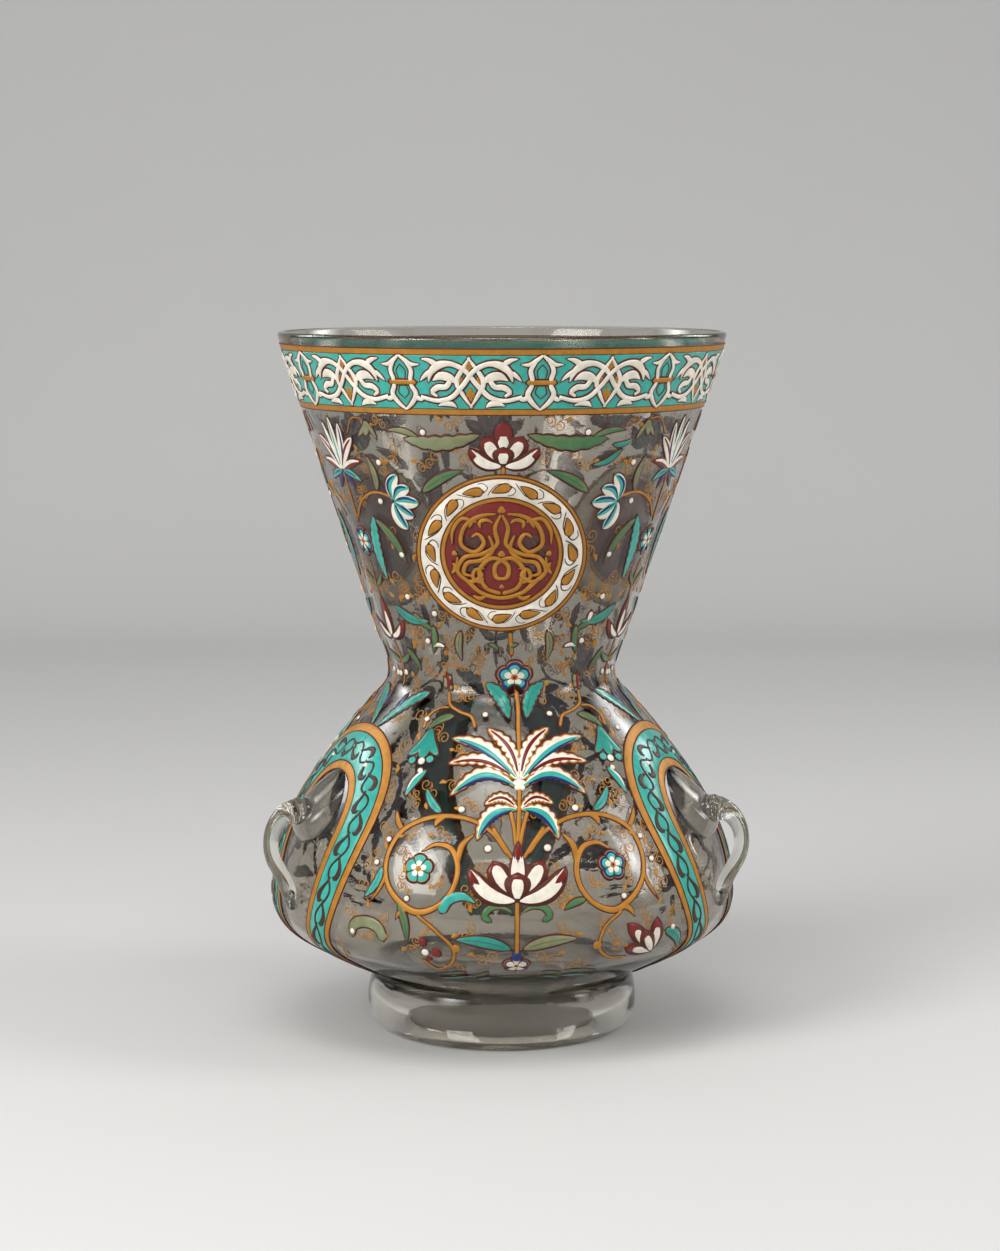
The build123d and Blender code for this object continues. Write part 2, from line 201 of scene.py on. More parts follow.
soft_lamp("window_left", -48, 0.95, 1.6, 0.8, 1.1, 28)
soft_lamp("window_right", 78, 0.8, 1.6, 0.6, 1.2, 17)
soft_lamp("window_top", -10, 1.9, 0.9, 1.2, 0.8, 14)
glow("glow_left", -48, 0.9, 1.55, 1.3, 1.7, 16)
glow("glow_right", 70, 0.7, 1.55, 0.7, 1.6, 13)
glow("glow_top", -10, 1.8, 0.85, 1.5, 0.9, 14)
for side in (-1, 1):
    glow("glow_behind_left" if side < 0 else "glow_behind_right", 122 * side, 1.0, 1.55, 1.0, 1.5, 14)
world = bpy.data.worlds.new("pale_room")
world.use_nodes = True
world.node_tree.nodes["Background"].inputs["Color"].default_value = (0.93, 0.95, 1.0, 1)
world.node_tree.nodes["Background"].inputs["Strength"].default_value = 0.55
bpy.context.scene.world = world
bpy.context.scene.view_settings.view_transform = "Standard"

# The vessel: one blown piece of clear glass with a faint smoky tint, wavy where it was worked.
# Its wall is 3.4 mm, its lip is fire-rounded, and the floor is kicked up inside the foot ring.
HEIGHT = 330.0
MOUTH_RADIUS = 104.9
WALL = 3.4
FLOOR_WALL = 6.0
NECK_FOOT = (59.5, 190.0)
WAIST = (53.6, 171.0)
SHOULDER = (75.9, 140.6)
SHOULDER_LEAN = 37.5
BELLY = (109.9, 66.0)
UNDERSIDE = (62.0, 27.5)
UNDERSIDE_LEAN = 62.5
BOTTOM = (38.0, 19.5)
KICK = (0.0, 27.0)
GLASS_TINT = (0.66, 0.625, 0.56)


def unit(degrees):
    """The direction down and outwards at an angle from the vertical."""
    return np.array([math.sin(math.radians(degrees)), -math.cos(math.radians(degrees))])


def bezier(points, count=40):
    """A Bezier curve's points: the four corners weighted by the cubic Bernstein terms."""
    t = np.linspace(0, 1, count)[:, None]
    a, b, c, d = (np.asarray(p, float) for p in points)
    return a * (1 - t) ** 3 + 3 * b * (1 - t) ** 2 * t + 3 * c * (1 - t) * t**2 + d * t**3


def offset_bezier(points, start, end):
    """A Bezier curve's points moved to the left of its way down, by start and end at its ends."""
    p0, p1, p2, p3 = (np.asarray(p, float) for p in points)
    to_left = [np.array([d[1], -d[0]]) / np.hypot(*d) for d in (p1 - p0, p3 - p2)]
    q0, q3 = p0 + to_left[0] * start, p3 + to_left[1] * end
    share = np.hypot(*(q3 - q0)) / np.hypot(*(p3 - p0))
    return [q0, q0 + (p1 - p0) * share, q3 - (p3 - p2) * share, q3]


neck_angle = math.atan2(MOUTH_RADIUS - NECK_FOOT[0], HEIGHT - NECK_FOOT[1])
lip = np.array([MOUTH_RADIUS, HEIGHT - WALL / 2 * (1 + math.sin(neck_angle))])
neck_foot, waist, shoulder, belly, underside, bottom, kick = (
    np.array(p) for p in (NECK_FOOT, WAIST, SHOULDER, BELLY, UNDERSIDE, BOTTOM, KICK)
)
down_neck = (neck_foot - lip) / np.hypot(*(neck_foot - lip))
under = unit(UNDERSIDE_LEAN) * (-1, 1)
drops = -np.diff([p[1] for p in (neck_foot, waist, shoulder, belly, underside)])
curves = [
    [neck_foot, neck_foot + down_neck * drops[0] * 0.34, waist + (0, drops[0] * 0.32), waist],
    [waist, waist - (0, drops[1] * 0.27), shoulder - unit(SHOULDER_LEAN) * drops[1] * 0.89, shoulder],
    [shoulder, shoulder + unit(SHOULDER_LEAN) * drops[2] * 0.436, belly + (0, drops[2] * 0.35), belly],
    [belly, belly - (0, drops[3] * 0.442), underside - under * drops[3], underside],
]
in_floor = underside[0] - bottom[0]
floor_curves = [
    [underside, underside + under * in_floor * 0.45, bottom + (in_floor * 0.4, 0), bottom],
    [bottom, bottom - (bottom[0] * 0.37, 0), kick + (bottom[0] * 0.37, 0), kick],
]
neck_line = lip + (neck_foot - lip) * np.linspace(0, 1, 40)[:, None]
PAINTED = np.vstack([neck_line] + [bezier(c)[1:] for c in curves])
ARC = np.concatenate([[0], np.cumsum(np.hypot(*np.diff(PAINTED, axis=0).T))])
step = np.gradient(PAINTED, ARC, axis=0)
NORMAL = np.stack([-step[:, 1], step[:, 0]], -1) / np.hypot(*step.T)[:, None]


def arc_at(height):
    """The way down the profile from the lip to a height."""
    return np.interp(-np.asarray(height, float), -PAINTED[:, 1], ARC)


def radius_at(height):
    """The vessel's radius at a height."""
    return np.interp(-np.asarray(height, float), -PAINTED[:, 1], PAINTED[:, 0])


def on_glass(azimuth, arc, lift=0.0):
    """Points on the glass at an azimuth in degrees and a way down its profile, lifted off it squarely."""
    radius, level, out, tilt = (np.interp(arc, ARC, v) for v in (*PAINTED.T, *NORMAL.T))
    angle, reach = np.radians(azimuth), radius + lift * out
    return np.stack(np.broadcast_arrays(reach * np.sin(angle), -reach * np.cos(angle), level + lift * tilt), -1)


def revolved(profile, count):
    """A closed profile of radius and height turned round the axis, as a grid of points."""
    angle = np.linspace(0, 2 * np.pi, count, endpoint=False)
    radius, level = profile[:, :1], profile[:, 1:]
    return np.stack(np.broadcast_arrays(radius * np.sin(angle), -radius * np.cos(angle), level), -1)


def close_up(thing):
    """Merges the points at poles and seams, and turns the faces outwards."""
    shell = bmesh.new()
    shell.from_mesh(thing.data)
    bmesh.ops.remove_doubles(shell, verts=shell.verts, dist=1e-6)
    bmesh.ops.dissolve_degenerate(shell, edges=shell.edges, dist=1e-7)
    bmesh.ops.recalc_face_normals(shell, faces=shell.faces)
    for face in shell.faces:
        face.smooth = True
    shell.to_mesh(thing.data)
    shell.free()


def glass_finish(name, tint, wave, ripple):
    """Clear glass with a tint, and slow waves and fine ripples in its surface."""
    finish = Finish(
        name, **{"Base Color": tint, "Transmission Weight": 1.0, "Roughness": 0.012, "IOR": 1.5}
    )
    waves = finish.noise(wave, 1.0, (1, 1, 0.5))
    ripples = finish.noise(ripple, 3.0, (1, 1, 2.2))
    finish.bump(waves * 0.92 + ripples * 0.08, 0.0011)
    return finish.material


inward = np.array([down_neck[1], -down_neck[0]])
lip_middle = lip + inward * WALL / 2
sweep = np.linspace(0, np.pi, 17)[1:-1, None]
lip_round = lip_middle + WALL / 2 * (inward * np.cos(sweep) - down_neck * np.sin(sweep))
inner_neck = (neck_line + inward * WALL)[::-1]
walls = [(c, WALL, WALL) for c in curves] + [(floor_curves[0], WALL, FLOOR_WALL)]
walls += [(floor_curves[1], FLOOR_WALL, FLOOR_WALL)]
inner = np.vstack([bezier(offset_bezier(*w))[:-1] for w in walls] + [[kick + (0, FLOOR_WALL)]])[::-1]
outer = np.vstack([PAINTED] + [bezier(c)[1:] for c in floor_curves])
section = np.vstack([outer, inner[:-1], inner_neck, lip_round])
points = revolved(section, 160) * MM
vessel = mesh_object("vessel", points, grid_faces(*points.shape[:2], True, True))
close_up(vessel)
vessel.data.materials.append(glass_finish("clear_glass", GLASS_TINT, 14.0, 60.0))
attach(vessel, "root")
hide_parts("glass_body")

# The foot: a thick thread of glass wound once under the vessel and melted smooth, with a ground flat.
# Its end laps over its start, and a crease from the winding runs across its front.
FOOT_RADIUS = 64.5
FOOT_INNER_RADIUS = 45.5
FOOT_BULGE_HEIGHT = 11.5
FOOT_TOP = (57.0, 30.5)
FLAT_RADII = (51.0, 56.0)
FOOT_SINK = 1.2
LAP_AZIMUTH = 24.0
LAP_DEPTH = 0.7

spread, deep = FOOT_RADIUS - FOOT_TOP[0], FOOT_TOP[1] - FOOT_BULGE_HEIGHT
inner_edge, outer_edge = FLAT_RADII
foot_outer = bezier([
    FOOT_TOP,
    (FOOT_TOP[0] + spread * 0.75, FOOT_TOP[1] - deep * 0.18),
    (FOOT_RADIUS, FOOT_BULGE_HEIGHT + deep * 0.42),
    (FOOT_RADIUS, FOOT_BULGE_HEIGHT),
], 20)
foot_lower = bezier([
    (FOOT_RADIUS, FOOT_BULGE_HEIGHT),
    (FOOT_RADIUS, FOOT_BULGE_HEIGHT * 0.44),
    (outer_edge + (FOOT_RADIUS - outer_edge) * 0.6, 0),
    (outer_edge, 0),
], 18)
foot_inner = bezier([
    (inner_edge, 0),
    (FOOT_INNER_RADIUS + (inner_edge - FOOT_INNER_RADIUS) * 0.3, 0),
    (FOOT_INNER_RADIUS, FOOT_BULGE_HEIGHT * 0.44),
    (FOOT_INNER_RADIUS, FOOT_BULGE_HEIGHT),
], 14)
seat_radii = np.linspace(FOOT_INNER_RADIUS, FOOT_TOP[0], 12)
seat = np.stack([seat_radii, np.interp(-seat_radii, -outer[:, 0], outer[:, 1]) + FOOT_SINK], -1)
foot_outer = foot_outer[foot_outer[:, 1] < seat[-1, 1]]
section = np.vstack([foot_outer, foot_lower[1:], foot_inner, seat])
angle = np.linspace(0, 2 * np.pi, 240, endpoint=False)
past_lap = (np.degrees(angle) - LAP_AZIMUTH + 180) % 360 - 180
lap = LAP_DEPTH * np.exp(-np.clip(past_lap, 0, None) / 9) * (1 / (1 + np.exp(-past_lap / 0.35)))
sway = 0.35 * np.sin(2 * angle + 0.6) + 0.22 * np.sin(5 * angle)
middle = (FOOT_RADIUS + FOOT_INNER_RADIUS) / 2
fullness = 1 - np.clip((section[:, 1] - 16) / 10, 0, 1)
shrink = (lap[None, :] + 0.5 + sway[None, :] * 0.9) / (FOOT_RADIUS - middle) * fullness[:, None]
radius = middle + (section[:, :1] - middle) * (1 - np.clip(shrink, 0, 1))
level = np.broadcast_to(section[:, 1:], radius.shape)
points = np.stack([radius * np.sin(angle), -radius * np.cos(angle), level], -1) * MM
foot = mesh_object("foot", points, grid_faces(*points.shape[:2], True, True))
close_up(foot)
foot.data.materials.append(glass_finish("foot_glass", (0.72, 0.69, 0.63), 20.0, 90.0))
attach(foot, "root")
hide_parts("foot_ring")

# The three handles: a gather of clear glass laid on the shoulder as a pad, drawn out into a loop,
# and pinched down on the belly. Each is one mass, so pad, loop and tail are melted together here too.
HANDLE_AZIMUTHS = {"left": -64.5, "right": 64.5, "back": 180.0}
HANDLE_SINK = 1.3
PAD_HEIGHT = 114.0
PAD_HALF_LENGTH = 20.0
PAD_HALF_WIDTH = 15.5
PAD_RISE = 10.5
LOOP = np.array([
    (99.5, 107.0, 8.0, 9.6),
    (104.2, 110.2, 7.2, 8.2),
    (108.8, 111.0, 5.8, 6.4),
    (113.4, 109.8, 4.7, 5.2),
    (117.2, 106.4, 4.0, 4.5),
    (119.8, 101.0, 3.6, 4.1),
    (120.3, 95.5, 3.5, 3.9),
    (119.0, 89.6, 3.5, 4.0),
    (116.2, 84.2, 3.5, 4.2),
    (113.4, 79.0, 3.5, 4.6),
    (111.4, 73.5, 3.4, 5.2),
    (110.4, 68.5, 2.8, 4.4),
    (109.6, 65.0, 1.4, 2.2),
])


def through(points, count, scale=None):
    """A smooth line through points: cubic Hermite pieces over the chord length, with mean slopes."""
    chord = np.hypot(*((np.diff(points, axis=0)[:, :2] * (1 if scale is None else scale)).T))
    run = np.concatenate([[0], np.cumsum(chord)])
    slope = np.gradient(points, run, axis=0) if len(points) > 2 else np.diff(points, axis=0)[[0, 0]] / run[1]
    at = np.linspace(0, run[-1], count)
    k = np.clip(np.searchsorted(run, at, "right") - 1, 0, len(run) - 2)
    width = (run[k + 1] - run[k])[:, None]
    t = (at - run[k])[:, None] / width
    near = (2 * t**3 - 3 * t**2 + 1) * points[k] + (t**3 - 2 * t**2 + t) * width * slope[k]
    return near + (3 * t**2 - 2 * t**3) * points[k + 1] + (t**3 - t**2) * width * slope[k + 1]


def pad_grid():
    """The pad: a shallow oval laid on the glass, thin at its top and swelling to a round lower end."""
    ring, around = np.meshgrid(np.linspace(0, 1, 40), np.linspace(0, 2 * np.pi, 96, endpoint=False), indexing="ij")
    x = PAD_HALF_WIDTH * ring * np.sin(around) * (1 - 0.10 * ring * np.cos(around))
    y = PAD_HALF_LENGTH * ring * np.cos(around)
    down = np.clip(0.5 - y / (2 * PAD_HALF_LENGTH), 0, 1)
    crown = PAD_RISE * (0.22 + 0.78 * np.clip(down * 1.25, 0, 1) ** 1.6)
    edge = np.sqrt(np.clip(1 - ring**2, 0, 1)) ** (1.25 - 0.45 * down)
    lift = crown * edge - HANDLE_SINK * ring**6
    arc = arc_at(PAD_HEIGHT) - y
    top = on_glass(np.degrees(x / np.interp(arc, ARC, PAINTED[:, 0])), arc, lift)
    under = on_glass(0.0, arc_at(PAD_HEIGHT), -HANDLE_SINK) * np.ones((1, around.shape[1], 1))
    return np.concatenate([top, under])


def loop_grid():
    """The loop: oval sections across its centreline, with folds round its root and pinches in its tail."""
    line = through(LOOP, 110)
    run = np.linspace(0, 1, len(line))
    heading = np.gradient(line[:, :2], axis=0)
    heading /= np.hypot(*heading.T)[:, None]
    folds = 1 + 0.055 * np.sin(run * 150) * np.exp(-(((run - 0.13) / 0.05) ** 2))
    pinch = 1 - 0.16 * np.exp(-(((run - 0.90) / 0.014) ** 2)) - 0.10 * np.exp(-(((run - 0.945) / 0.01) ** 2))
    around = np.linspace(0, 2 * np.pi, 40, endpoint=False)
    close = np.concatenate([[0], np.ones(len(line) - 2), [0]])
    thick, wide = (line[:, k] * folds * pinch * close for k in (2, 3))
    out = line[:, :1] + heading[:, 1:] * thick[:, None] * np.cos(around) * -1
    level = line[:, 1:2] + heading[:, :1] * thick[:, None] * np.cos(around)
    return np.stack([wide[:, None] * np.sin(around), -out, level], -1)


def turned(points, azimuth):
    """Points turned about the axis to an azimuth in degrees."""
    c, s = math.cos(math.radians(azimuth)), math.sin(math.radians(azimuth))
    return points @ np.array([[c, s, 0], [-s, c, 0], [0, 0, 1]])


handle_glass = glass_finish("handle_glass", (0.86, 0.84, 0.79), 22.0, 60.0)
for side, azimuth in HANDLE_AZIMUTHS.items():
    shells, faces, used = [], [], 0
    for grid in (pad_grid(), loop_grid()):
        shells.append(turned(grid.reshape(-1, 3), azimuth) * MM)
        faces.append(grid_faces(*grid.shape[:2], False, True) + used)
        used += len(shells[-1])
    handle = mesh_object("loop_handle_" + side, np.vstack(shells), np.vstack(faces))
    close_up(handle)
    melt = handle.modifiers.new("melt", "REMESH")
    melt.mode, melt.voxel_size, melt.use_smooth_shade = "VOXEL", 0.00055, True
    soften = handle.modifiers.new("soften", "SMOOTH")
    soften.factor, soften.iterations = 0.5, 6
    handle.data.materials.append(handle_glass)
    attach(handle, "root")
    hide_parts("handle_" + side)

# The rim band: a turquoise enamel ground between two gilt lines, with white enamel straps that are
# outlined in dark brown and knotted at ten places, and between the knots a palmette crossed by a gilt bar.
LINE_TOP = 324.6
LINE_HEIGHT = 2.7
GROUND_HEIGHT = 23.7
STRAP_SHARE = 0.885
BAND_REPEATS = 10
BAND_PERIOD = 61.6
BAND_START = 7.4
GROUND_RISE = 0.6
STRAP_WIDTH = 2.5
LINE_EDGE = 0.58
SQUEEZE = 115.5 / 129.0
BODY = (0.0, 122.25, -122.25)
painted = {}


def glass_path(points):
    """Azimuths and heights as azimuths and ways down the profile, with any widths after them kept."""
    path = np.array(points, float)
    path[:, 1] = arc_at(path[:, 1])
    return path


def stroke(colour, points, width, rise=0.45, base=-0.05, count=None, ends=(1, 1), lobes=0, lobe=0.0, edge=0.0):
    """A domed line of enamel through points: its half section is carried along a smooth path.

    A third number at each point is a share of the width. The ends are round at 1 and pointed at 0, and
    lobes gives the number of scallops along its edges. An edge widens it all round."""
    path = glass_path(points)
    if path.shape[1] == 2:
        path = np.column_stack([path, np.ones(len(path))])
    metric = np.array([np.radians(1) * np.interp(path[:, 1], ARC, PAINTED[:, 0]).mean(), 1.0])
    chord = np.hypot(*(np.diff(path[:, :2], axis=0) * metric).T).sum()
    count = count or int(np.clip(max(chord / 1.1, lobes * 7), 6, 110))
    path = through(path, count, metric)
    radius = np.interp(path[:, 1], ARC, PAINTED[:, 0])
    dx = np.gradient(path[:, 0]) * np.radians(radius)
    dy = -np.gradient(path[:, 1])
    length = np.hypot(dx, dy) + 1e-9
    dx, dy = dx / length, dy / length
    way = np.concatenate([[0], np.cumsum(length[1:])])
    half = width / 2 * path[:, 2]
    for distance, roundness in ((way, ends[0]), (way[::-1], ends[1])):
        if roundness:
            half = half * np.sqrt(np.clip(1 - (1 - np.clip(distance / (width / 2 + 1e-9), 0, 1)) ** 2, 0, 1))
    if lobes:
        half = half * (1 - lobe + lobe * np.abs(np.sin(way / way[-1] * np.pi * lobes)))
    half = half + edge * np.minimum(1, np.minimum(way, way[-1] - way) / 0.3 + 0.02)
    shift = edge * np.concatenate([[-1], np.zeros(count - 2), [1]])
    flat = colour == "line"
    across = np.array([-1, -0.95, -0.5, 0.5, 0.95, 1] if flat else [-1, -0.82, -0.4, 0.4, 0.82, 1])
    dome = np.array([0, 0.92, 1, 1, 0.92, 0] if flat else [0, 0.72, 1, 1, 0.72, 0])
    if width < 0.7:
        across, dome = np.array([-1, -0.5, 0.5, 1]), np.array([0, 1, 1, 0])
    slim = 1 if flat else np.clip(half / 0.5, 0.25, 1)[:, None]
    azimuth = path[:, :1] + np.degrees((-dy * half)[:, None] * across / radius[:, None])
    azimuth = azimuth + np.degrees(dx * shift / radius)[:, None]
    arc = path[:, 1:2] - (dx * half)[:, None] * across - (dy * shift)[:, None]
    lift = base + (rise - base) * dome * slim
    fade = np.broadcast_to((way / way[-1])[:, None], arc.shape)
    lay(colour, azimuth, arc, lift, fade)


def bloom(colour, at, radius, rise=0.45, base=-0.05, lobes=0, lobe=0.0, turn=0.0, count=None, tall=1.0):
    """A domed round or lobed patch: its edge radius is a cosine of the way round, raised to a scallop."""
    centre = glass_path([at])[0]
    count = count or (10 if radius < 1.6 else 28 if not lobes else lobes * 10)
    around = np.linspace(0, 2 * np.pi, count, endpoint=False)
    edge = radius * (1 - lobe + lobe * np.abs(np.cos((around - math.radians(turn)) * lobes / 2)) ** 0.7)
    ring = np.array([0, 0.5, 0.85, 1, 1, 0])[:, None]
    lift = np.array([rise, rise * 0.97, rise * 0.72, base, base, base])[:, None] * np.ones(count)
    arc = centre[1] - ring * edge * np.cos(around) * tall
    azimuth = centre[0] + np.degrees(ring * edge * np.sin(around) / np.interp(arc, ARC, PAINTED[:, 0]))
    lay(colour, azimuth, arc, lift, np.broadcast_to(ring, arc.shape), True)


def lay(colour, azimuth, arc, lift, fade, rows_close=False):
    """Keeps one grid of a colour until its pieces are made."""
    grid = np.stack(np.broadcast_arrays(azimuth, arc, lift, fade), -1)
    faces = grid_faces(*grid.shape[:2], False, True)
    painted.setdefault(colour, []).append((grid.reshape(-1, 4), faces if not rows_close else faces[:, ::-1]))


def pigment(name, colour, second, roughness, metallic=0.0, mottle=260.0, relief=0.00012, coat=0.0):
    """Fired enamel or gilding: two tones mixed by the way along a shape and by noise, and a fine relief."""
    finish = Finish(name, Metallic=metallic, Specular_IOR_Level=0.25)
    grain = finish.noise(mottle, 4.0)
    pool = finish.noise(mottle / 6, 2.0)
    along = finish.node("ShaderNodeAttribute", {"attribute_name": "fade"}, output=2)
    ramp = finish.node("ShaderNodeMapRange", {}, {0: along * 0.85 + pool * 0.3 - 0.08, 1: 0.0, 2: 1.0})
    base = finish.mix(ramp, colour, second)
    darker = finish.node("ShaderNodeMapRange", {}, {0: grain, 1: 0.3, 2: 0.7, 3: 0.82, 4: 1.06})
    shade = finish.node("ShaderNodeCombineColor", {}, {0: darker, 1: darker, 2: darker})
    both = finish.node("ShaderNodeMix", {"data_type": "RGBA", "blend_type": "MULTIPLY"}, {0: 1.0, 6: base, 7: shade}, output=2)
    finish.set(finish.shader.inputs["Base Color"], both)
    finish.set(finish.shader.inputs["Roughness"], grain * 0.16 + (roughness - 0.08))
    finish.set(finish.shader.inputs["Coat Weight"], coat)
    finish.bump(pool * 0.6 + grain * 0.4, relief * 8)
    return finish.material


PIGMENTS = {
    "gold": ("gilding", pigment("gilding", (0.36, 0.155, 0.018), (0.43, 0.19, 0.028), 0.42, 0.3)),
    "line": ("red_enamel", pigment("outline_brown", (0.055, 0.010, 0.006), (0.08, 0.015, 0.008), 0.42)),
    "white": ("white_enamel", pigment("white_enamel", (0.71, 0.66, 0.56), (0.65, 0.59, 0.49), 0.22, coat=0.25)),
    "turquoise": ("turquoise_enamel", pigment("turquoise", (0.028, 0.30, 0.245), (0.04, 0.35, 0.29), 0.2, coat=0.3)),
    "teal": ("turquoise_enamel", pigment("teal_enamel", (0.010, 0.19, 0.145), (0.022, 0.26, 0.20), 0.2, coat=0.3)),
    "green": ("turquoise_enamel", pigment("green_enamel", (0.10, 0.16, 0.06), (0.02, 0.13, 0.05), 0.22, coat=0.3)),
    "olive": ("turquoise_enamel", pigment("olive_enamel", (0.15, 0.155, 0.065), (0.19, 0.22, 0.12), 0.24, coat=0.3)),
    "red": ("red_enamel", pigment("red_enamel", (0.125, 0.006, 0.004), (0.16, 0.009, 0.006), 0.24, coat=0.3)),
    "blue": ("blue_enamel", pigment("blue_enamel", (0.006, 0.013, 0.09), (0.01, 0.024, 0.13), 0.2, coat=0.3)),
    # The vine colour is partly real and partly painted shade: the medallion ring's wavy line is brown, and the drop
    # panels' vine is dark brown standing in for bare glass that looks dark from behind.
    "vine": ("red_enamel", pigment("vine_brown_and_painted_shade", (0.035, 0.016, 0.012), (0.045, 0.022, 0.014), 0.4)),
}


def fire(zone, azimuths, squeezes, replaced):
    """Makes one piece of each colour that is laid, repeated at azimuths with its width squeezed."""
    for colour, grids in painted.items():
        flat = np.vstack([g for g, _ in grids])
        starts = np.cumsum([0] + [len(g) for g, _ in grids[:-1]])
        faces = np.vstack([f + start for (_, f), start in zip(grids, starts)])
        places = [on_glass(a + flat[:, 0] * q, flat[:, 1], flat[:, 2]) for a, q in zip(azimuths, squeezes)]
        all_faces = np.vstack([faces + k * len(flat) for k in range(len(azimuths))])
        piece = mesh_object(f"{zone}_{colour}", np.vstack(places) * MM, all_faces, np.tile(flat[:, 3], len(azimuths)))
        close_up(piece)
        slot, finish = PIGMENTS[colour]
        piece.data.materials.append(finish)
        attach(piece, "root")
        if colour in replaced:
            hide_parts(*replaced[colour])
    painted.clear()


def hoop(colour, top, bottom, rise):
    """A flat ring of enamel round the glass between two heights, with rounded edges."""
    top, bottom = arc_at(top), arc_at(bottom)
    soft = min(0.35, (bottom - top) / 3)
    arc = np.array([top, top, top + soft, top + 1.2 * soft, bottom - 1.2 * soft, bottom - soft, bottom, bottom])
    lift = np.array([-0.05, rise * 0.6, rise, rise, rise, rise, rise * 0.6, -0.05])
    azimuth = np.linspace(0, 360, 240, endpoint=False)[:, None]
    grid = np.broadcast_to(0.5, (240, 8))
    grid = np.stack(np.broadcast_arrays(azimuth, arc, lift, grid), -1)
    painted.setdefault(colour, []).append((grid.reshape(-1, 4), grid_faces(240, 8, True, True)[:, ::-1]))


def banded(points, mirror=1, middle=0.0):
    """Points of the rim band, in mm sideways and up from a knot, as azimuths and heights."""
    x, y = np.array(points, float)[:, :2].T
    height = LINE_TOP - LINE_HEIGHT - GROUND_HEIGHT / 2 + y * STRAP_SHARE * math.cos(neck_angle)
    return np.column_stack([middle + mirror * x * 36 / BAND_PERIOD, height, *np.array(points, float)[:, 2:].T])


hoop("gold", LINE_TOP, LINE_TOP - LINE_HEIGHT, 0.4)
hoop("gold", LINE_TOP - LINE_HEIGHT - GROUND_HEIGHT, LINE_TOP - 2 * LINE_HEIGHT - GROUND_HEIGHT, 0.4)
for level in (LINE_TOP, LINE_TOP - LINE_HEIGHT, LINE_TOP - LINE_HEIGHT - GROUND_HEIGHT, LINE_TOP - 2 * LINE_HEIGHT - GROUND_HEIGHT):
    hoop("line", level + 0.28, level - 0.28, 0.47)
hoop("turquoise", LINE_TOP - LINE_HEIGHT, LINE_TOP - LINE_HEIGHT - GROUND_HEIGHT, GROUND_RISE)
fire("mouth_band", [0.0], [1.0], {
    "gold": ("band_gold_line_upper", "band_gold_line_lower"), "turquoise": ("band_turquoise_ground",)
})

STRAP = [
    (-22.6, -7.6, 0.8), (-14.7, -9.5, 0.9), (-8.6, -7.7, 1), (-3.9, -2.4, 1), (3.5, 7.6, 1), (8.6, 9.9, 1.1),
    (13.2, 9.0, 1.6), (16.8, 5.4, 1.2), (18.4, 0.2, 0.2),
]
HORN = [(14.0, 9.2, 1.2), (17.4, 11.6, 0.9), (20.8, 12.4, 0.1)]
BARB = [(16.4, 6.0, 1.2), (19.6, 3.6, 0.9), (22.4, 0.4, 0.1)]
LOZENGE = [(-0.5, 13.2, 0.3), (2.6, 7.6, 0.8), (5.8, 0.2, 1), (3.2, -6.8, 0.8), (-0.4, -13.2, 0.3)]
LEAF = [(5.8, 0.2, 0.7), (9.2, 2.8, 1.7), (12.6, 3.4, 1.7), (16.4, 1.0, 0.2)]
CURL = [(8.6, 1.2, 0.9), (10.6, -2.2, 1.1), (14.6, -2.6, 1.2), (17.2, -5.4, 0.9), (15.0, -7.2, 0.5)]
TAIL = [(6.6, -13.0, 0.2), (8.4, -11.4, 1.0), (11.6, -10.8, 1.2), (15.0, -12.2, 0.2)]
for mirror in (-1, 1):
    for shape, lift in ((LEAF, 0), (CURL, 0), (TAIL, 0), (HORN, 0), (BARB, 0), (LOZENGE, 0.02), (STRAP, 0.04 + 0.16 * (mirror == 1))):
        way = banded(shape, mirror)
        low = GROUND_RISE - 0.1
        stroke("line", way, STRAP_WIDTH, GROUND_RISE + 0.14 + lift, low, edge=LINE_EDGE, ends=(0, 0))
        stroke("white", way, STRAP_WIDTH, GROUND_RISE + 0.42 + lift, low, ends=(0, 0))
OUTLINE = [(0, 14.2, 0.4), (2.8, 11.4, 0.9), (5.2, 9.4, 0.9), (9.0, 9.4, 0.2)]
OGEE = [(2.8, 11.2, 0.7), (4.9, 6.0, 0.9), (4.1, 1.6, 0.9), (4.2, -1.6, 0.9), (5.8, -6.0, 1.0), (3.4, -11.0, 0.9), (0, -14.4, 0.4)]
INNER = [(0, 9.4, 0.4), (2.2, 5.8, 0.5), (1.7, 2.6, 0.5), (1.6, -1.8, 0.5), (2.6, -5.2, 0.6), (0, -8.6, 0.4)]
FOOTLET = [(5.4, -7.6, 0.8), (8.0, -8.8, 1.0), (9.4, -8.2, 0.6)]
for mirror in (-1, 1):
    for shape in (OUTLINE, OGEE, FOOTLET):
        way = banded(shape, mirror, 18)
        stroke("line", way, STRAP_WIDTH, GROUND_RISE + 0.14, low, edge=LINE_EDGE, ends=(0, 0))
        stroke("white", way, STRAP_WIDTH, GROUND_RISE + 0.42, low, ends=(0, 0))
    stroke("line", banded(INNER, mirror, 18), 1.0, GROUND_RISE + 0.16, low, ends=(0, 0))
bar = banded([(-7.05, 0), (0, 0), (7.05, 0)], 1, 18)
stroke("line", bar, 2.5, GROUND_RISE + 0.3, low, edge=LINE_EDGE)
stroke("gold", bar, 2.5, GROUND_RISE + 0.55, low)
for x, y, size in ((0, 7.4, 2.5), (0, -6.6, 2.5), (3.6, 0.4, 1.9), (-3.6, 0.4, 1.9)):
    spot = banded([(x, y)])[0]
    bloom("line", spot, size + 0.4, GROUND_RISE + 0.2, low, 4, 0.5, tall=1.5)
    bloom("gold", spot, size, GROUND_RISE + 0.32, low, 4, 0.5, tall=1.5)
repeats = [BAND_START - 18 + 36 * n for n in range(BAND_REPEATS)]
fire("band_straps", repeats, [1.0] * BAND_REPEATS, {"white": ("band_white_palmettes",), "gold": ("band_gold_bars",)})

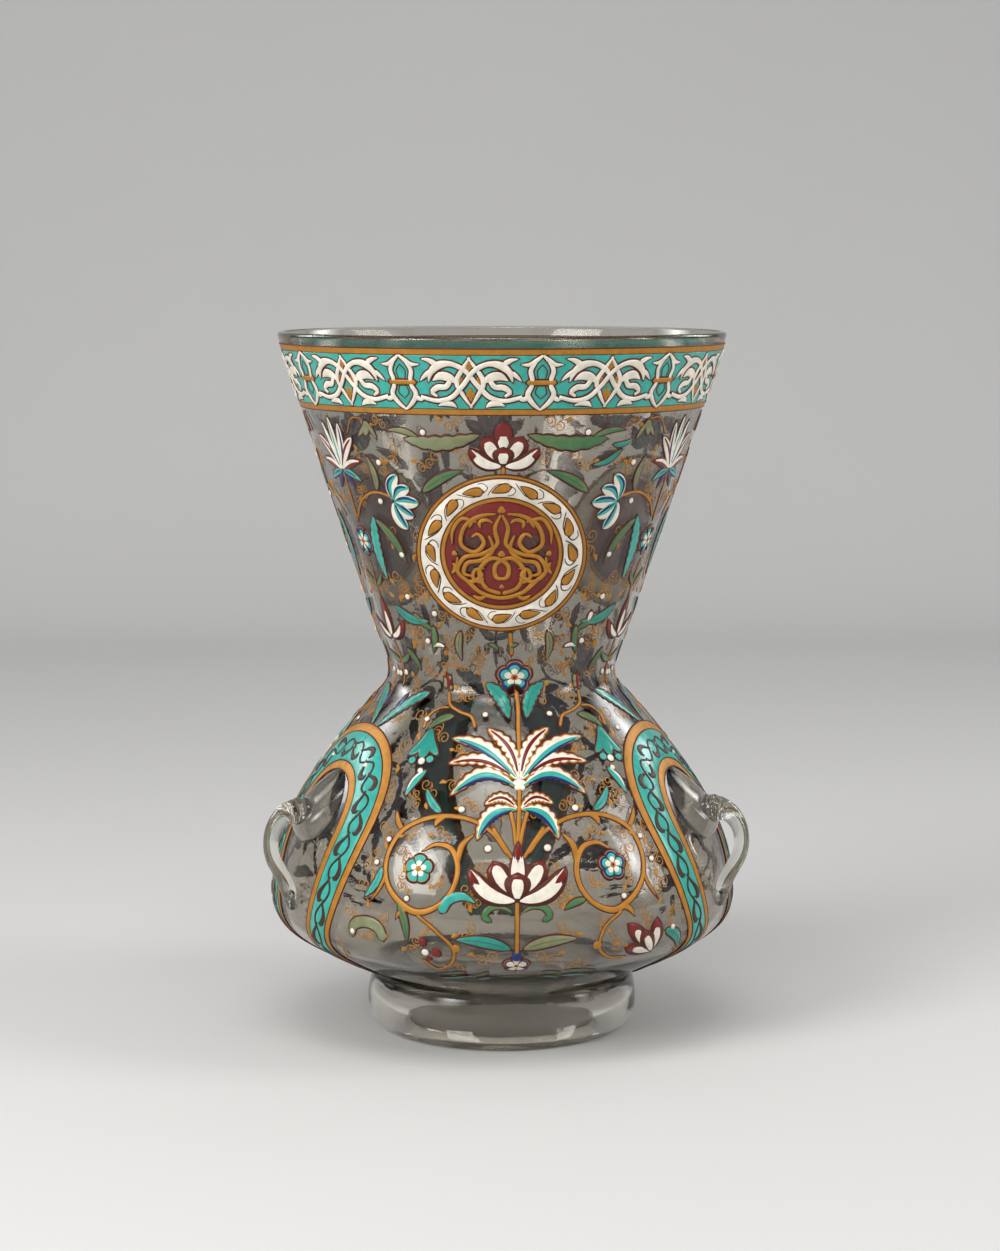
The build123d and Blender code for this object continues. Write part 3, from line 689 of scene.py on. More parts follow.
# The three medallions on the neck: a gilt rim, a white enamel ring with sixteen gilt drops in a wavy
# line, a gilt line, and a red enamel field that is filled with a gilt arabesque of scrolling stems.
MEDALLION_TURN = -2.7
MEDALLION_HEIGHT = 232.5
MEDALLION_EDGES = (38.2, 36.4, 27.4, 25.2)
RING_DROPS = 16


def on_medallion(points):
    """Points in mm sideways and up from the medallion's centre, pressed square onto the neck."""
    points = np.array(points, float)
    height = MEDALLION_HEIGHT + points[:, 1] * math.cos(neck_angle)
    radius = np.interp(arc_at(height), ARC, PAINTED[:, 0])
    return np.column_stack([np.degrees(np.arcsin(points[:, 0] / radius)), height, *points[:, 2:].T])


def medal_ring(colour, outside, inside, rise, base=-0.05):
    """A flat ring or disc of the medallion, with rounded edges: a closed section turned about its centre."""
    soft = min(0.5, (outside - inside) / 3)
    reach = np.array([outside, outside - soft * 0.3, outside - soft, inside + soft, inside + soft * 0.3, inside])
    lift = np.array([base, base + (rise - base) * 0.7, rise, rise, base + (rise - base) * 0.7, base])
    around = np.linspace(0, 2 * np.pi, 120, endpoint=False)
    flat = np.stack([np.outer(reach, np.sin(around)), np.outer(reach, np.cos(around))], -1).reshape(-1, 2)
    place = glass_path(on_medallion(flat))
    azimuth, arc = (place[:, k].reshape(len(reach), -1) for k in (0, 1))
    grid = np.stack(np.broadcast_arrays(azimuth, arc, lift[:, None], 0.5), -1)
    painted.setdefault(colour, []).append((grid.reshape(-1, 4), grid_faces(*azimuth.shape, True, True)[:, ::-1]))


rim, white_edge, line_edge, field_edge = MEDALLION_EDGES
medal_ring("gold", rim, white_edge, 0.4)
medal_ring("white", white_edge, line_edge, 0.6)
medal_ring("gold", line_edge, field_edge, 0.42)
medal_ring("red", field_edge, 0.0, 0.55)
for edge in (rim, white_edge, line_edge, field_edge):
    medal_ring("line", edge + 0.3, edge - 0.3, 0.66 if edge in (white_edge, line_edge) else 0.5)
middle, half_way = (white_edge + line_edge) / 2, math.pi / RING_DROPS
for n in range(RING_DROPS):
    start, flip = 2 * half_way * n, 1 if n % 2 else -1
    drop = start + np.array([-0.55, -0.2, 0.2, 0.55]) * half_way * 1.25
    reach = middle + flip * np.array([1.7, 0.9, -0.1, -0.7])
    way = on_medallion(np.column_stack([reach * np.sin(drop), reach * np.cos(drop), [0.15, 0.75, 1.1, 0.75]]))
    stroke("line", way, 4.0, 0.68, 0.5, edge=0.4, ends=(0, 1))
    stroke("gold", way, 4.0, 0.8, 0.5, ends=(0, 1))
    loop = start + np.array([-1.0, -0.62, -0.1, 0.45, 0.9, 0.72, 0.3]) * half_way * 1.15
    reach = middle + flip * np.array([-3.4, -0.4, 2.0, 1.6, -0.9, -3.0, -3.6]) * -1
    way = on_medallion(np.column_stack([reach * np.sin(loop), reach * np.cos(loop)]))
    stroke("vine", way, 0.62, 0.72, 0.5)

ARABESQUE = [
    [(0, -20, 1), (-7, -17, 1), (-10, -8, 1), (-4, -2, 1), (3, -6, 1), (2, -12, 1), (-3, -12, 0.5)],
    [(-2, 20, 0.4), (-9, 19, 1), (-17, 13, 1), (-18, 4, 1), (-12, 1, 1), (-8, 6, 1), (-11, 10, 0.8), (-14, 8, 0.4)],
    [(0, 20, 0.5), (3, 13, 1), (2, 5, 1), (9, 0, 1), (17, -2, 1), (20, -9, 1), (14, -14, 1), (9, -10, 0.9), (12, -7, 0.4)],
    [(-20, -1, 0.4), (-20, -9, 1), (-14, -15, 1), (-10, -19, 1), (0, -22, 1), (10, -19, 1), (17, -13, 0.4)],
    [(-6, 10, 0.4), (-4, 2, 1), (-9, -3, 1), (-16, -5, 1), (-17, -10, 0.9), (-13, -11, 0.4)],
    [(-22.5, 4, 0.3), (-22, 12, 0.9), (-17, 17.6, 0.9), (-13.5, 16, 0.8), (-15, 12.6, 0.4)],
    [(-7, -7, 0.3), (-12, -8, 0.8), (-13, -12, 0.9), (-9.5, -14, 0.8), (-8, -11.4, 0.4)],
    [(-3.5, 15, 0.3), (-6.5, 17, 0.9), (-10, 15.6, 0.9), (-9.4, 12.4, 0.4)],
    [(-22.6, -4, 0.3), (-21, -7, 1.1), (-23, -10.6, 0.3)],
    [(-6.4, -20.6, 0.3), (-10, -22.4, 1.1), (-13.6, -20.4, 0.3)],
]
for shape in ARABESQUE:
    for mirror in (-1, 1):
        way = on_medallion(np.array(shape) * (mirror * 0.98, 0.98, 1))
        lift = 0.06 * (mirror == 1)
        stroke("line", way, 2.1, 0.64 + lift, 0.45, edge=0.3)
        stroke("gold", way, 2.1, 0.85 + lift, 0.45)
for x, y, size in ((0, 21.4, 2.0), (0, 0, 1.8), (-12, 16, 1.3), (12, 16, 1.3), (-21, 0, 1.5), (21, 0, 1.5), (0, -16, 1.3)):
    bloom("gold", on_medallion([(x, y)])[0], size, 0.8, 0.45, 3, 0.35)
fire("medallions", [MEDALLION_TURN + a for a in BODY], [1.0] * 3, {
    colour: [f"medallion_{panel}_{part}" for panel in ("front", "rear_right", "rear_left") for part in parts]
    for colour, parts in {"gold": ("gold_rim", "gold_line"), "white": ("white_ring",), "red": ("red_field",)}.items()
})

# The drop panels under the handles: a band of turquoise enamel between two gilt ones, round a bare
# field that holds the handle, with a vine of comma leaves that winds down each side. The vine is painted shade:
# it is laid in dark brown where the band is bare glass that looks dark only from the darkness behind it.
DROP_TOP = 149.0
DROP_SIDE_HEIGHT = 106.0
DROP_HALF_WIDTH = 41.5
DROP_END = (13.0, 33.0)
DROP_END_GAP = 0.8
DROP_LINE = 3.8
DROP_BAND = 12.6
DROP_LENGTH = 128.0
VINE_WAVE = 20.0
VINE_SWAY = 2.7


def on_drop(t, inset, side):
    """Points of a drop panel: t goes from its top to its foot along two Bezier curves, moved in by inset."""
    t, inset = np.broadcast_arrays(np.asarray(t, float), np.asarray(inset, float))
    whole = 2 * DROP_LINE + DROP_BAND
    top, wide = DROP_TOP - inset, DROP_HALF_WIDTH - inset
    end, foot = DROP_END[0] - (DROP_END[0] - DROP_END_GAP) * inset / whole, DROP_END[1]
    middle = DROP_SIDE_HEIGHT
    k = np.where(t < 0.45, t / 0.45, (t - 0.45) / 0.55)
    upper = [(0 * top, top), (wide * 0.6, top), (wide, middle + (top - middle) * 0.56), (wide, middle + 0 * top)]
    fall = middle - foot
    lower = [
        (wide, middle + 0 * top), (wide, middle - fall * 0.3 + 0 * top),
        (end + (wide - end) * 0.66, foot + fall * 0.3 + 0 * top), (end, foot + 0 * top),
    ]
    weights = [(1 - k) ** 3, 3 * (1 - k) ** 2 * k, 3 * (1 - k) * k**2, k**3]
    x, y = (
        np.where(t < 0.45, sum(w * p[n] for w, p in zip(weights, upper)), sum(w * p[n] for w, p in zip(weights, lower)))
        for n in (0, 1)
    )
    return np.stack([side * np.degrees(np.arcsin(x / np.interp(arc_at(y), ARC, PAINTED[:, 0]))), y], -1)


def drop_band(colour, start, end, rise):
    """One band of the drop panel, from one inset to another: its section is carried along the outline."""
    soft = min(0.4, (end - start) / 3)
    insets = np.array([end, end, end - soft, start + soft, start, start])
    lift = np.array([-0.05, rise * 0.6, rise, rise, rise * 0.6, -0.05])
    down = np.linspace(1, 0, 70)[:, None]
    place = np.concatenate([on_drop(down, insets, -1), on_drop(down[::-1][1:], insets, 1)])
    azimuth, arc = place[..., 0], arc_at(place[..., 1])
    lay(colour, azimuth, arc, lift * np.ones_like(arc), 0.5 * np.ones_like(arc))


edges = np.cumsum([0, DROP_LINE, DROP_BAND, DROP_LINE])
drop_band("gold", edges[0], edges[1], 0.4)
drop_band("turquoise", edges[1], edges[2], 0.6)
drop_band("gold", edges[2], edges[3], 0.4)
for edge in edges:
    drop_band("line", edge - 0.3, edge + 0.3, 0.66 if 0 < edge < edges[-1] else 0.48)


middle_inset = (edges[1] + edges[2]) / 2


def on_vine(points, side):
    """Points of the vine, in mm down the band and out from its middle, on one side of the panel."""
    points = np.array(points, float)
    place = on_drop(points[:, 0] / DROP_LENGTH, middle_inset - points[:, 1], side)
    return np.column_stack([place, *points[:, 2:].T])


# The vine and its comma leaves are dark brown enamel as painted shade, in place of bare glass that is dark only from
# the darkness behind it.
for side in (-1, 1):
    way = np.linspace(0.5, 124, 90)
    sway = np.column_stack([way, VINE_SWAY * np.sin(way * 2 * np.pi / VINE_WAVE)])
    stroke("vine", on_vine(sway, side), 1.15, 0.8, 0.5, count=130)
    for n in range(12):
        start, flip = n * VINE_WAVE / 2, 1 if n % 2 else -1
        comma = [(-1.8, 0, 0.3), (1.0, 1.3, 0.6), (3.8, 3.3, 1.0), (6.6, 4.0, 1.4), (8.6, 2.6, 1.1), (8.0, 0.9, 0.2)]
        way = [(start + s, flip * w, share) for s, w, share in comma if start + s > 0]
        stroke("vine", on_vine(way, side), 2.3, 0.82, 0.5, ends=(0, 0))
    bloom("white", on_vine([(21, -1)], side)[0], 1.5, 0.9, 0.4)
bloom("vine", (0, DROP_TOP - middle_inset), 2.7, 0.8, 0.5, 3, 0.5)
bloom("turquoise", (0, DROP_TOP - middle_inset), 1.2, 0.86, 0.5, 3, 0.5)
fire("drop_panels", list(HANDLE_AZIMUTHS.values()), [1.0] * 3, {
    colour: [f"drop_{side}_{part}" for side in HANDLE_AZIMUTHS for part in parts]
    for colour, parts in {"gold": ("gold_outer", "gold_inner"), "turquoise": ("turquoise",)}.items()
})

# The flowers of the neck, beside each medallion: stems, curled leaves, scale-petalled flowers and small
# blossoms in coloured enamels, each outlined in brown and gilt, with fine gilt tendrils between them.
NECK_AXIS = -2.2
NECK_SKEW = 0.03
STEM_WIDTH = 1.3
TENDRIL_WIDTH = 0.52
LEAF_SHAPE = np.linspace(0, 1, 9)
SLENDER = (0.8, 0.8)
FULL = (1.1, 0.6)
BLUNT = (1.4, 0.5)


def neck(points, side):
    """Points of the neck's right half, in degrees from its middle and height, on one side."""
    points = np.array(points, float)
    return np.column_stack([NECK_AXIS + (side + NECK_SKEW) * points[:, 0], *points[:, 1:].T])


def bent(base, tip, bow, shape=SLENDER):
    """Nine points from a base to a tip, bowed sideways by some mm as half a sine wave, with a leaf's widths."""
    base, tip = np.array(base[:2], float), np.array(tip[:2], float)
    radius = float(radius_at((base[1] + tip[1]) / 2))
    run = (tip - base) * (math.radians(radius), 1)
    square = np.array([-run[1], run[0]]) / (np.hypot(*run) + 1e-9) / (math.radians(radius), 1)
    u = LEAF_SHAPE[:, None]
    line = base + (tip - base) * u + square * bow * np.sin(np.pi * u)
    return np.column_stack([line, np.clip(np.sin(np.pi * LEAF_SHAPE**shape[0]), 0, 1) ** shape[1] + 0.02])


def leaf(colour, base, tip, width, bow=0.0, lobes=0, lobe=0.16, trim="line", heart=None, rib=True, rise=0.45, shape=SLENDER):
    """A pointed leaf or petal: an outline, a domed body, perhaps a heart of another colour, and a rib."""
    way = bent(base, tip, bow, shape)
    edge = 0.44 if width > 3 else 0.34
    if trim == "gold":
        stroke("line", way, width, rise - 0.16, edge=edge + 0.34, ends=(0, 0), lobes=lobes, lobe=lobe)
        stroke("gold", way, width, rise - 0.04, edge=edge, ends=(0, 0), lobes=lobes, lobe=lobe)
    else:
        stroke("line", way, width, rise - 0.12, edge=edge, ends=(0, 0), lobes=lobes, lobe=lobe)
    stroke(colour, way, width, rise, ends=(0, 0), lobes=lobes, lobe=lobe)
    for tone, share, shift in heart or ():
        inside = bent(base, tip, bow + shift * width, shape)
        inside = inside[1:] if share < 0.5 else inside
        stroke(tone, inside, width * share, rise + 0.1 + 0.04 * (share < 0.3), ends=(0, 0))
    if rib and width > 3.4 and not heart:
        stroke("line", way[1:8, :2], 0.36, rise + 0.04)


def stem(points, width=STEM_WIDTH, rise=0.4, trim=0.26):
    """A gilt stem with a brown outline."""
    stroke("line", points, width, rise * 0.6, edge=trim)
    stroke("gold", points, width, rise)


def dot(at, radius=1.45):
    """A drop of white enamel, ringed in brown."""
    bloom("line", at, radius + 0.3, 0.3)
    bloom("white", at, radius, 0.75)


def blossom(at, radius, petals, heart="red", turn=0.0, middle="white", rim="blue", between="turquoise"):
    """A round flower: lobed layers of enamel, each smaller and higher, spokes between, and a heart."""
    bloom("line", at, radius + 0.4, 0.25, lobes=petals, lobe=0.2, turn=turn)
    bloom("gold", at, radius + 0.1, 0.34, lobes=petals, lobe=0.2, turn=turn)
    bloom(rim, at, radius - 0.25, 0.48, lobes=petals, lobe=0.22, turn=turn)
    bloom(between, at, radius * 0.80, 0.58, 0.3, lobes=petals, lobe=0.3, turn=turn)
    bloom(middle, at, radius * 0.62, 0.68, 0.4, lobes=petals, lobe=0.34, turn=turn)
    scale = math.radians(float(radius_at(at[1])))
    for n in range(petals):
        angle = math.radians(turn + (n + 0.5) * 360 / petals)
        ends = [(at[0] + r * radius * math.sin(angle) / scale, at[1] + r * radius * math.cos(angle)) for r in (0.15, 0.5, 0.86)]
        stroke("line", ends, 0.55, 0.78, 0.3)
    bloom("gold", at, radius * 0.24, 0.86, 0.4)
    bloom(heart, at, radius * 0.15, 0.98, 0.5)


def sprig(at, heading, length, hand=1):
    """A gilt tendril: a wavering line that throws off a spiral to each side, and ends in a small leaf."""
    scale = math.radians(float(radius_at(at[1])))
    angle = math.radians(heading)
    ahead, aside = np.array([math.sin(angle), math.cos(angle)]), np.array([math.cos(angle), -math.sin(angle)])

    def placed(along, across, width=None):
        """Points in mm ahead and aside of the start, with any widths after them."""
        flat = np.array(at) + (np.outer(along, ahead) + np.outer(across, aside) * hand) / (scale, 1)
        return flat if width is None else np.column_stack([flat, width])

    u = np.linspace(0, 1, 6)
    sway = 0.12 * length
    stroke("gold", placed(u * length * 0.8, sway * np.sin(u * 2 * np.pi)), TENDRIL_WIDTH, 0.26, count=9)
    for way, share, radius in ((-1, 0.10, 0.24), (1, 0.46, 0.21)):
        turns = np.linspace(0, 2.9 * np.pi, 18)
        reach = radius * length * (1 - 0.28 * turns / np.pi)
        start = sway * math.sin(share / 0.8 * 2 * math.pi)
        across = start + way * (radius * length - reach * np.cos(turns))
        stroke("gold", placed(share * length + reach * np.sin(turns), across), TENDRIL_WIDTH, 0.25, count=18)
    tip = placed(length * np.array([0.76, 0.9, 1.06]), length * np.array([-0.01, -0.08, -0.02]), [0.3, 1, 0.05])
    stroke("gold", tip, 2.2, 0.3, ends=(0, 0), count=7)


for side in (-1, 1):
    def on(*points):
        return neck(points, side)
    one = lambda x, z: neck([(x, z)], side)[0]
    stem(on((59.5, 246), (54.8, 253.5), (45.5, 259), (37.8, 257)))
    stem(on((0, 273.5), (0, 268.5)), 1.9)
    pale = "olive" if side < 0 else "green"
    leaf(pale, one(6.4, 286.8), one(30, 284.5), 8.0, 3.0 * -side, lobes=6, lobe=0.22, rib=False, shape=FULL)
    leaf(pale, one(25, 285), one(35.5, 288), 3.0, 1.5 * side, trim="line")
    leaf("green", one(26.6, 260), one(12.4, 270.5), 5.0, 1.4 * -side)
    leaf("olive", one(44.5, 259.5), one(46, 276), 3.8, 1.6 * side)
    scales = (((34.6, 268.0), 7.4, -2.4), ((34.2, 242.6), 7.4, 2.4), ((30.8, 261.8), 7.2, -1.6), ((30.8, 248.8), 7.2, 1.6), ((28.2, 255.2), 7.4, 0))
    for tip, width, bow in scales:
        hearts = [("turquoise", 0.55, -0.14 * side), ("blue", 0.26, -0.24 * side)]
        leaf("white", one(38.2, 255.4), one(*tip), width, bow * side, heart=hearts, shape=FULL)
    for x, z in ((33.6, 257.6), (33.8, 252.8)):
        leaf("blue", one(38.4, 255.2), one(x, z), 3.6, 0.0, heart=[("turquoise", 0.4, 0.0)])
    leaf("turquoise", one(49.6, 248), one(51.2, 217.5), 7.2, 2.6 * side, lobes=8, lobe=0.3)
    leaf("green", one(49.2, 246.5), one(38.4, 226.5), 4.6, 2.0 * -side)
    leaf("teal", one(51.5, 206), one(33.2, 199.5), 5.4, 2.8 * side)
    leaf("green", one(41, 203.2), one(31.2, 195.2), 3.6, 1.0 * side)
    leaf("green", one(51.5, 185.5), one(45.0, 175), 3.6, 0.8)
    leaf("white", one(27, 187.5), one(34.2, 187), 2.4, 1.4 * side, rib=False)
    leaf("olive", one(18.4, 196), one(19.8, 181.5), 3.6, 1.4 * side)
    leaf("green", one(6.8, 190), one(1.8, 186.5), 2.2, 0.8 * -side)
    leaf("green", one(31.6, 198), one(34.4, 184), 3.2, 1.0 * -side)
    for x, z in ((23.5, 287.5), (41, 273), (44.2, 255), (40, 230.5), (42, 210.5), (29.8, 203.5), (57.5, 173), (63, 172), (36, 190)):
        if (x, side) not in ((29.8, 1),):
            dot(one(x, z), 1.5)
    leaf("olive", one(42.4, 292.5), one(44.2, 284.5), 4.6, 0.6, rib=False)
    for tip in ((39.6, 283.4), (47.2, 284.2)):
        leaf("olive", one(42.4, 291), one(*tip), 2.6, 0.3)
    stem(on((43, 292.5), (47.4, 293), (52.2, 285)), 0.8)
    leaf("red", one(0.2, 274.6), one(5.3, 285.8), 9.0, -1.0 * side, rib=False, rise=0.5, shape=BLUNT)
    leaf("white", one(0.2, 274.6), one(4.9, 284.4), 7.0, -0.9 * side, rib=False, rise=0.6, shape=BLUNT)
    leaf("white", one(0.1, 272.8), one(9.8, 280.9), 6.4, -3.0 * side, rib=False, rise=0.68, shape=FULL)
    leaf("red", one(7.6, 276.2), one(9.8, 280.9), 3.4, -0.7 * side, rib=False, rise=0.78)
    for x, z, heading, length, hand in (
        (7, 275, 70, 14, 1), (19, 277, 40, 12, -1), (12, 291, 80, 11, 1), (33, 279, 130, 11, 1), (36, 292, 100, 9, -1),
        (22, 272, 80, 10, 1), (29, 240, 150, 14, 1), (31, 232, 200, 13, -1), (43, 243, 170, 10, -1), (44, 221, 170, 13, 1),
        (36, 221, 200, 12, -1), (31, 212, 100, 12, 1), (40, 216, 140, 9, 1), (22, 205, 130, 11, -1), (12, 195, 100, 10, 1),
        (24, 193, 160, 10, 1), (40, 197, 150, 11, -1), (38, 190, 120, 9, 1), (26, 181, 140, 9, -1), (13, 184, 190, 9, 1),
        (49, 268, 10, 12, 1), (51, 262, 140, 9, -1), (38, 265, 20, 10, 1), (46, 199, 190, 12, 1), (9, 201, 70, 9, 1),
    ):
        sprig(one(x, z), heading * side, length, hand * side)
leaf("red", (NECK_AXIS, 279), (NECK_AXIS, 292.6), 8.6, 0, rib=False, rise=0.42, shape=FULL)
leaf("white", (NECK_AXIS, 279), (NECK_AXIS, 287.2), 6.2, 0, rib=False, rise=0.48, shape=BLUNT)
leaf("red", (NECK_AXIS, 272.8), (NECK_AXIS, 281.2), 9.4, 0, rib=False, rise=0.82, shape=BLUNT)
leaf("white", (NECK_AXIS, 272.8), (NECK_AXIS, 279.8), 7.4, 0, rib=False, rise=0.92, shape=BLUNT)
stem([(NECK_AXIS + 3, 196), (NECK_AXIS + 4, 184)], 1.9)
leaf("teal", (34.3, 279.5), (24.5, 272.5), 3.2, 2.0)
leaf("teal", (30.5, 281.5), (37.8, 283.8), 2.8, -1.2)
leaf("white", (36.8, 204.5), (35.8, 197.5), 3.2, 0.5, rib=False)
fire("neck_flowers", list(BODY), [1, SQUEEZE, SQUEEZE], {
    colour: [f"neck_flowers_{panel}" for panel in ("front", "rear_right", "rear_left")] for colour in ("blue", "turquoise")
})

# The side stems of the neck, one above each handle: a six-petalled blossom, an iris over it and a lily
# at the waist, on one gilt stem.
SIDE_STEMS = (-60.6, 60.6, 180.0)

stem([(0.6, 166), (0.8, 178), (0, 188)], 1.1)
stem([(0, 244), (0, 256), (0, 268)], 1.2)
stem([(0, 205), (-0.6, 214), (0, 226)], 0.9)
blossom((0, 235.3), 7.4, 6, heart="red")
for side in (-1, 1):
    leaf("white", (0, 268), (side * 4.6, 290.5), 5.6, -1.0 * side, heart=[("blue", 0.34, -0.15 * side)], shape=FULL)
    leaf("white", (0, 268), (side * 9.8, 284.0), 5.6, 1.0 * side, heart=[("red", 0.36, 0.12 * side)], shape=FULL)
    leaf("red", (0, 268), (side * 11.6, 272.8), 4.4, 1.2 * side, heart=[("white", 0.5, 0.14 * side)])
    leaf("turquoise", (0, 268), (side * 9.0, 263.5), 3.8, 1.0 * side, heart=[("blue", 0.3, 0.0)])
    leaf("blue", (0, 268), (side * 4.6, 259.8), 3.4, 0.5 * side)
    leaf("red", (0, 189.5), (side * 12.0, 199), 5.0, -1.8 * side, rib=False)
    leaf("white", (0.2 * side, 189.8), (side * 9.0, 196.8), 3.4, -1.5 * side, rib=False, rise=0.62)
    leaf("green", (0.6, 178), (side * 9.5, 183), 3.2, -0.8 * side)
    sprig((side * 6, 226), 150 * side, 12, side)
    sprig((side * 1.5, 216), 120 * side, 11, -side)
    sprig((side * 3.5, 253), 70 * side, 9, side)
    leaf("green", (0, 214), (side * 5.6, 221), 2.6, -0.6 * side)
leaf("white", (0, 268), (0, 293), 5.2, 0, heart=[("turquoise", 0.4, 0.0)], shape=FULL)
leaf("red", (0, 190), (0, 209), 6.4, 0, rib=False, rise=0.5)
leaf("white", (0, 190), (0, 203), 4.8, 0, rib=False, rise=0.62)
fire("neck_rosettes", list(SIDE_STEMS), [1, 1, 1], {"white": [f"neck_rosette_{side}" for side in HANDLE_AZIMUTHS]})

# The plant on each body panel: an upright gilt stem from a low blossom through a lotus and a great
# palmette of curled leaves to a blossom at the waist, and scrolling gilt branches that spring from it.
AXIS = np.array([(44, 0.8), (52, 0.9), (82, 1.0), (105, 1.5), (132, 2.9), (150, 3.7), (164, 4.5), (174, 3.4), (190, 3.0)])


def body(points, side):
    """Points of the plant's right half, in degrees from its leaning stem and height, on one side."""
    points = np.array(points, float)
    return np.column_stack([np.interp(points[:, 1], *AXIS.T) + side * points[:, 0], *points[:, 1:].T])


def middle_of(height):
    """The stem's own point at a height."""
    return (float(np.interp(height, *AXIS.T)), height)


SCROLL = [
    (2.3, 101, 0.9), (7.2, 110.5, 0.9), (12.4, 114.8, 1), (19, 116.4, 1.1), (26, 114.6, 1.1), (31.4, 109.2, 1.1),
    (33.8, 97.5, 1.1), (32.2, 86.5, 1.2), (28.2, 79, 1.4), (24.0, 75.4, 1.5), (18.6, 79, 1.1), (15.2, 87.5, 1.1),
    (15.0, 97.5, 1.2), (17.2, 103.4, 1.2), (21, 104.6, 0.9), (24.6, 101.2, 0.3),
]
HOOKS = [
    [(32.0, 110, 1.1), (33.6, 112.4, 1.2), (35.4, 117.4, 0.1)], [(15.0, 98, 1.2), (14.2, 105, 1.3), (11.2, 109.8, 0.1)],
    [(20.5, 116.3, 1.1), (22.3, 114, 1.3), (22.6, 111.4, 0.1)], [(32.9, 91, 1.0), (34.2, 84, 0.7), (36.8, 77.0, 0.1)],
    [(26, 77, 1.2), (28.2, 74.6, 1.1), (29.2, 71.2, 0.1)],
]
TAILS = {-1: [(24, 74.5), (18.6, 67), (14.8, 59), (15.2, 54), (20, 48.6), (23, 54)], 1: [(26, 75), (20.8, 67), (19.9, 59), (24, 53), (28.6, 52.4)]}
PALMETTE = [
    ((12.0, 152.0), 7.4, -4.4, "white", [("red", 0.36, 0.0)]),
    ((24.8, 147.6), 6.8, -5.4, "white", [("turquoise", 0.55, 0.20), ("blue", 0.24, 0.34)]),
    ((23.6, 137.4), 7.0, -5.2, "white", [("red", 0.36, 0.10)]),
    ((20.4, 124.6), 6.8, -8.0, "white", [("turquoise", 0.58, 0.14), ("blue", 0.26, 0.36)]),
    ((9.8, 121.4), 5.6, -3.8, "white", [("red", 0.4, 0.0)]),
    ((10.6, 107.0), 6.8, -5.8, "white", [("turquoise", 0.60, 0.12), ("blue", 0.28, 0.36)]),
]
stem([middle_of(z) for z in (52, 62, 72, 82)], 1.9, 0.33)
stem([middle_of(z) for z in (100, 110, 120, 132, 142, 152, 164, 172)], 1.9)
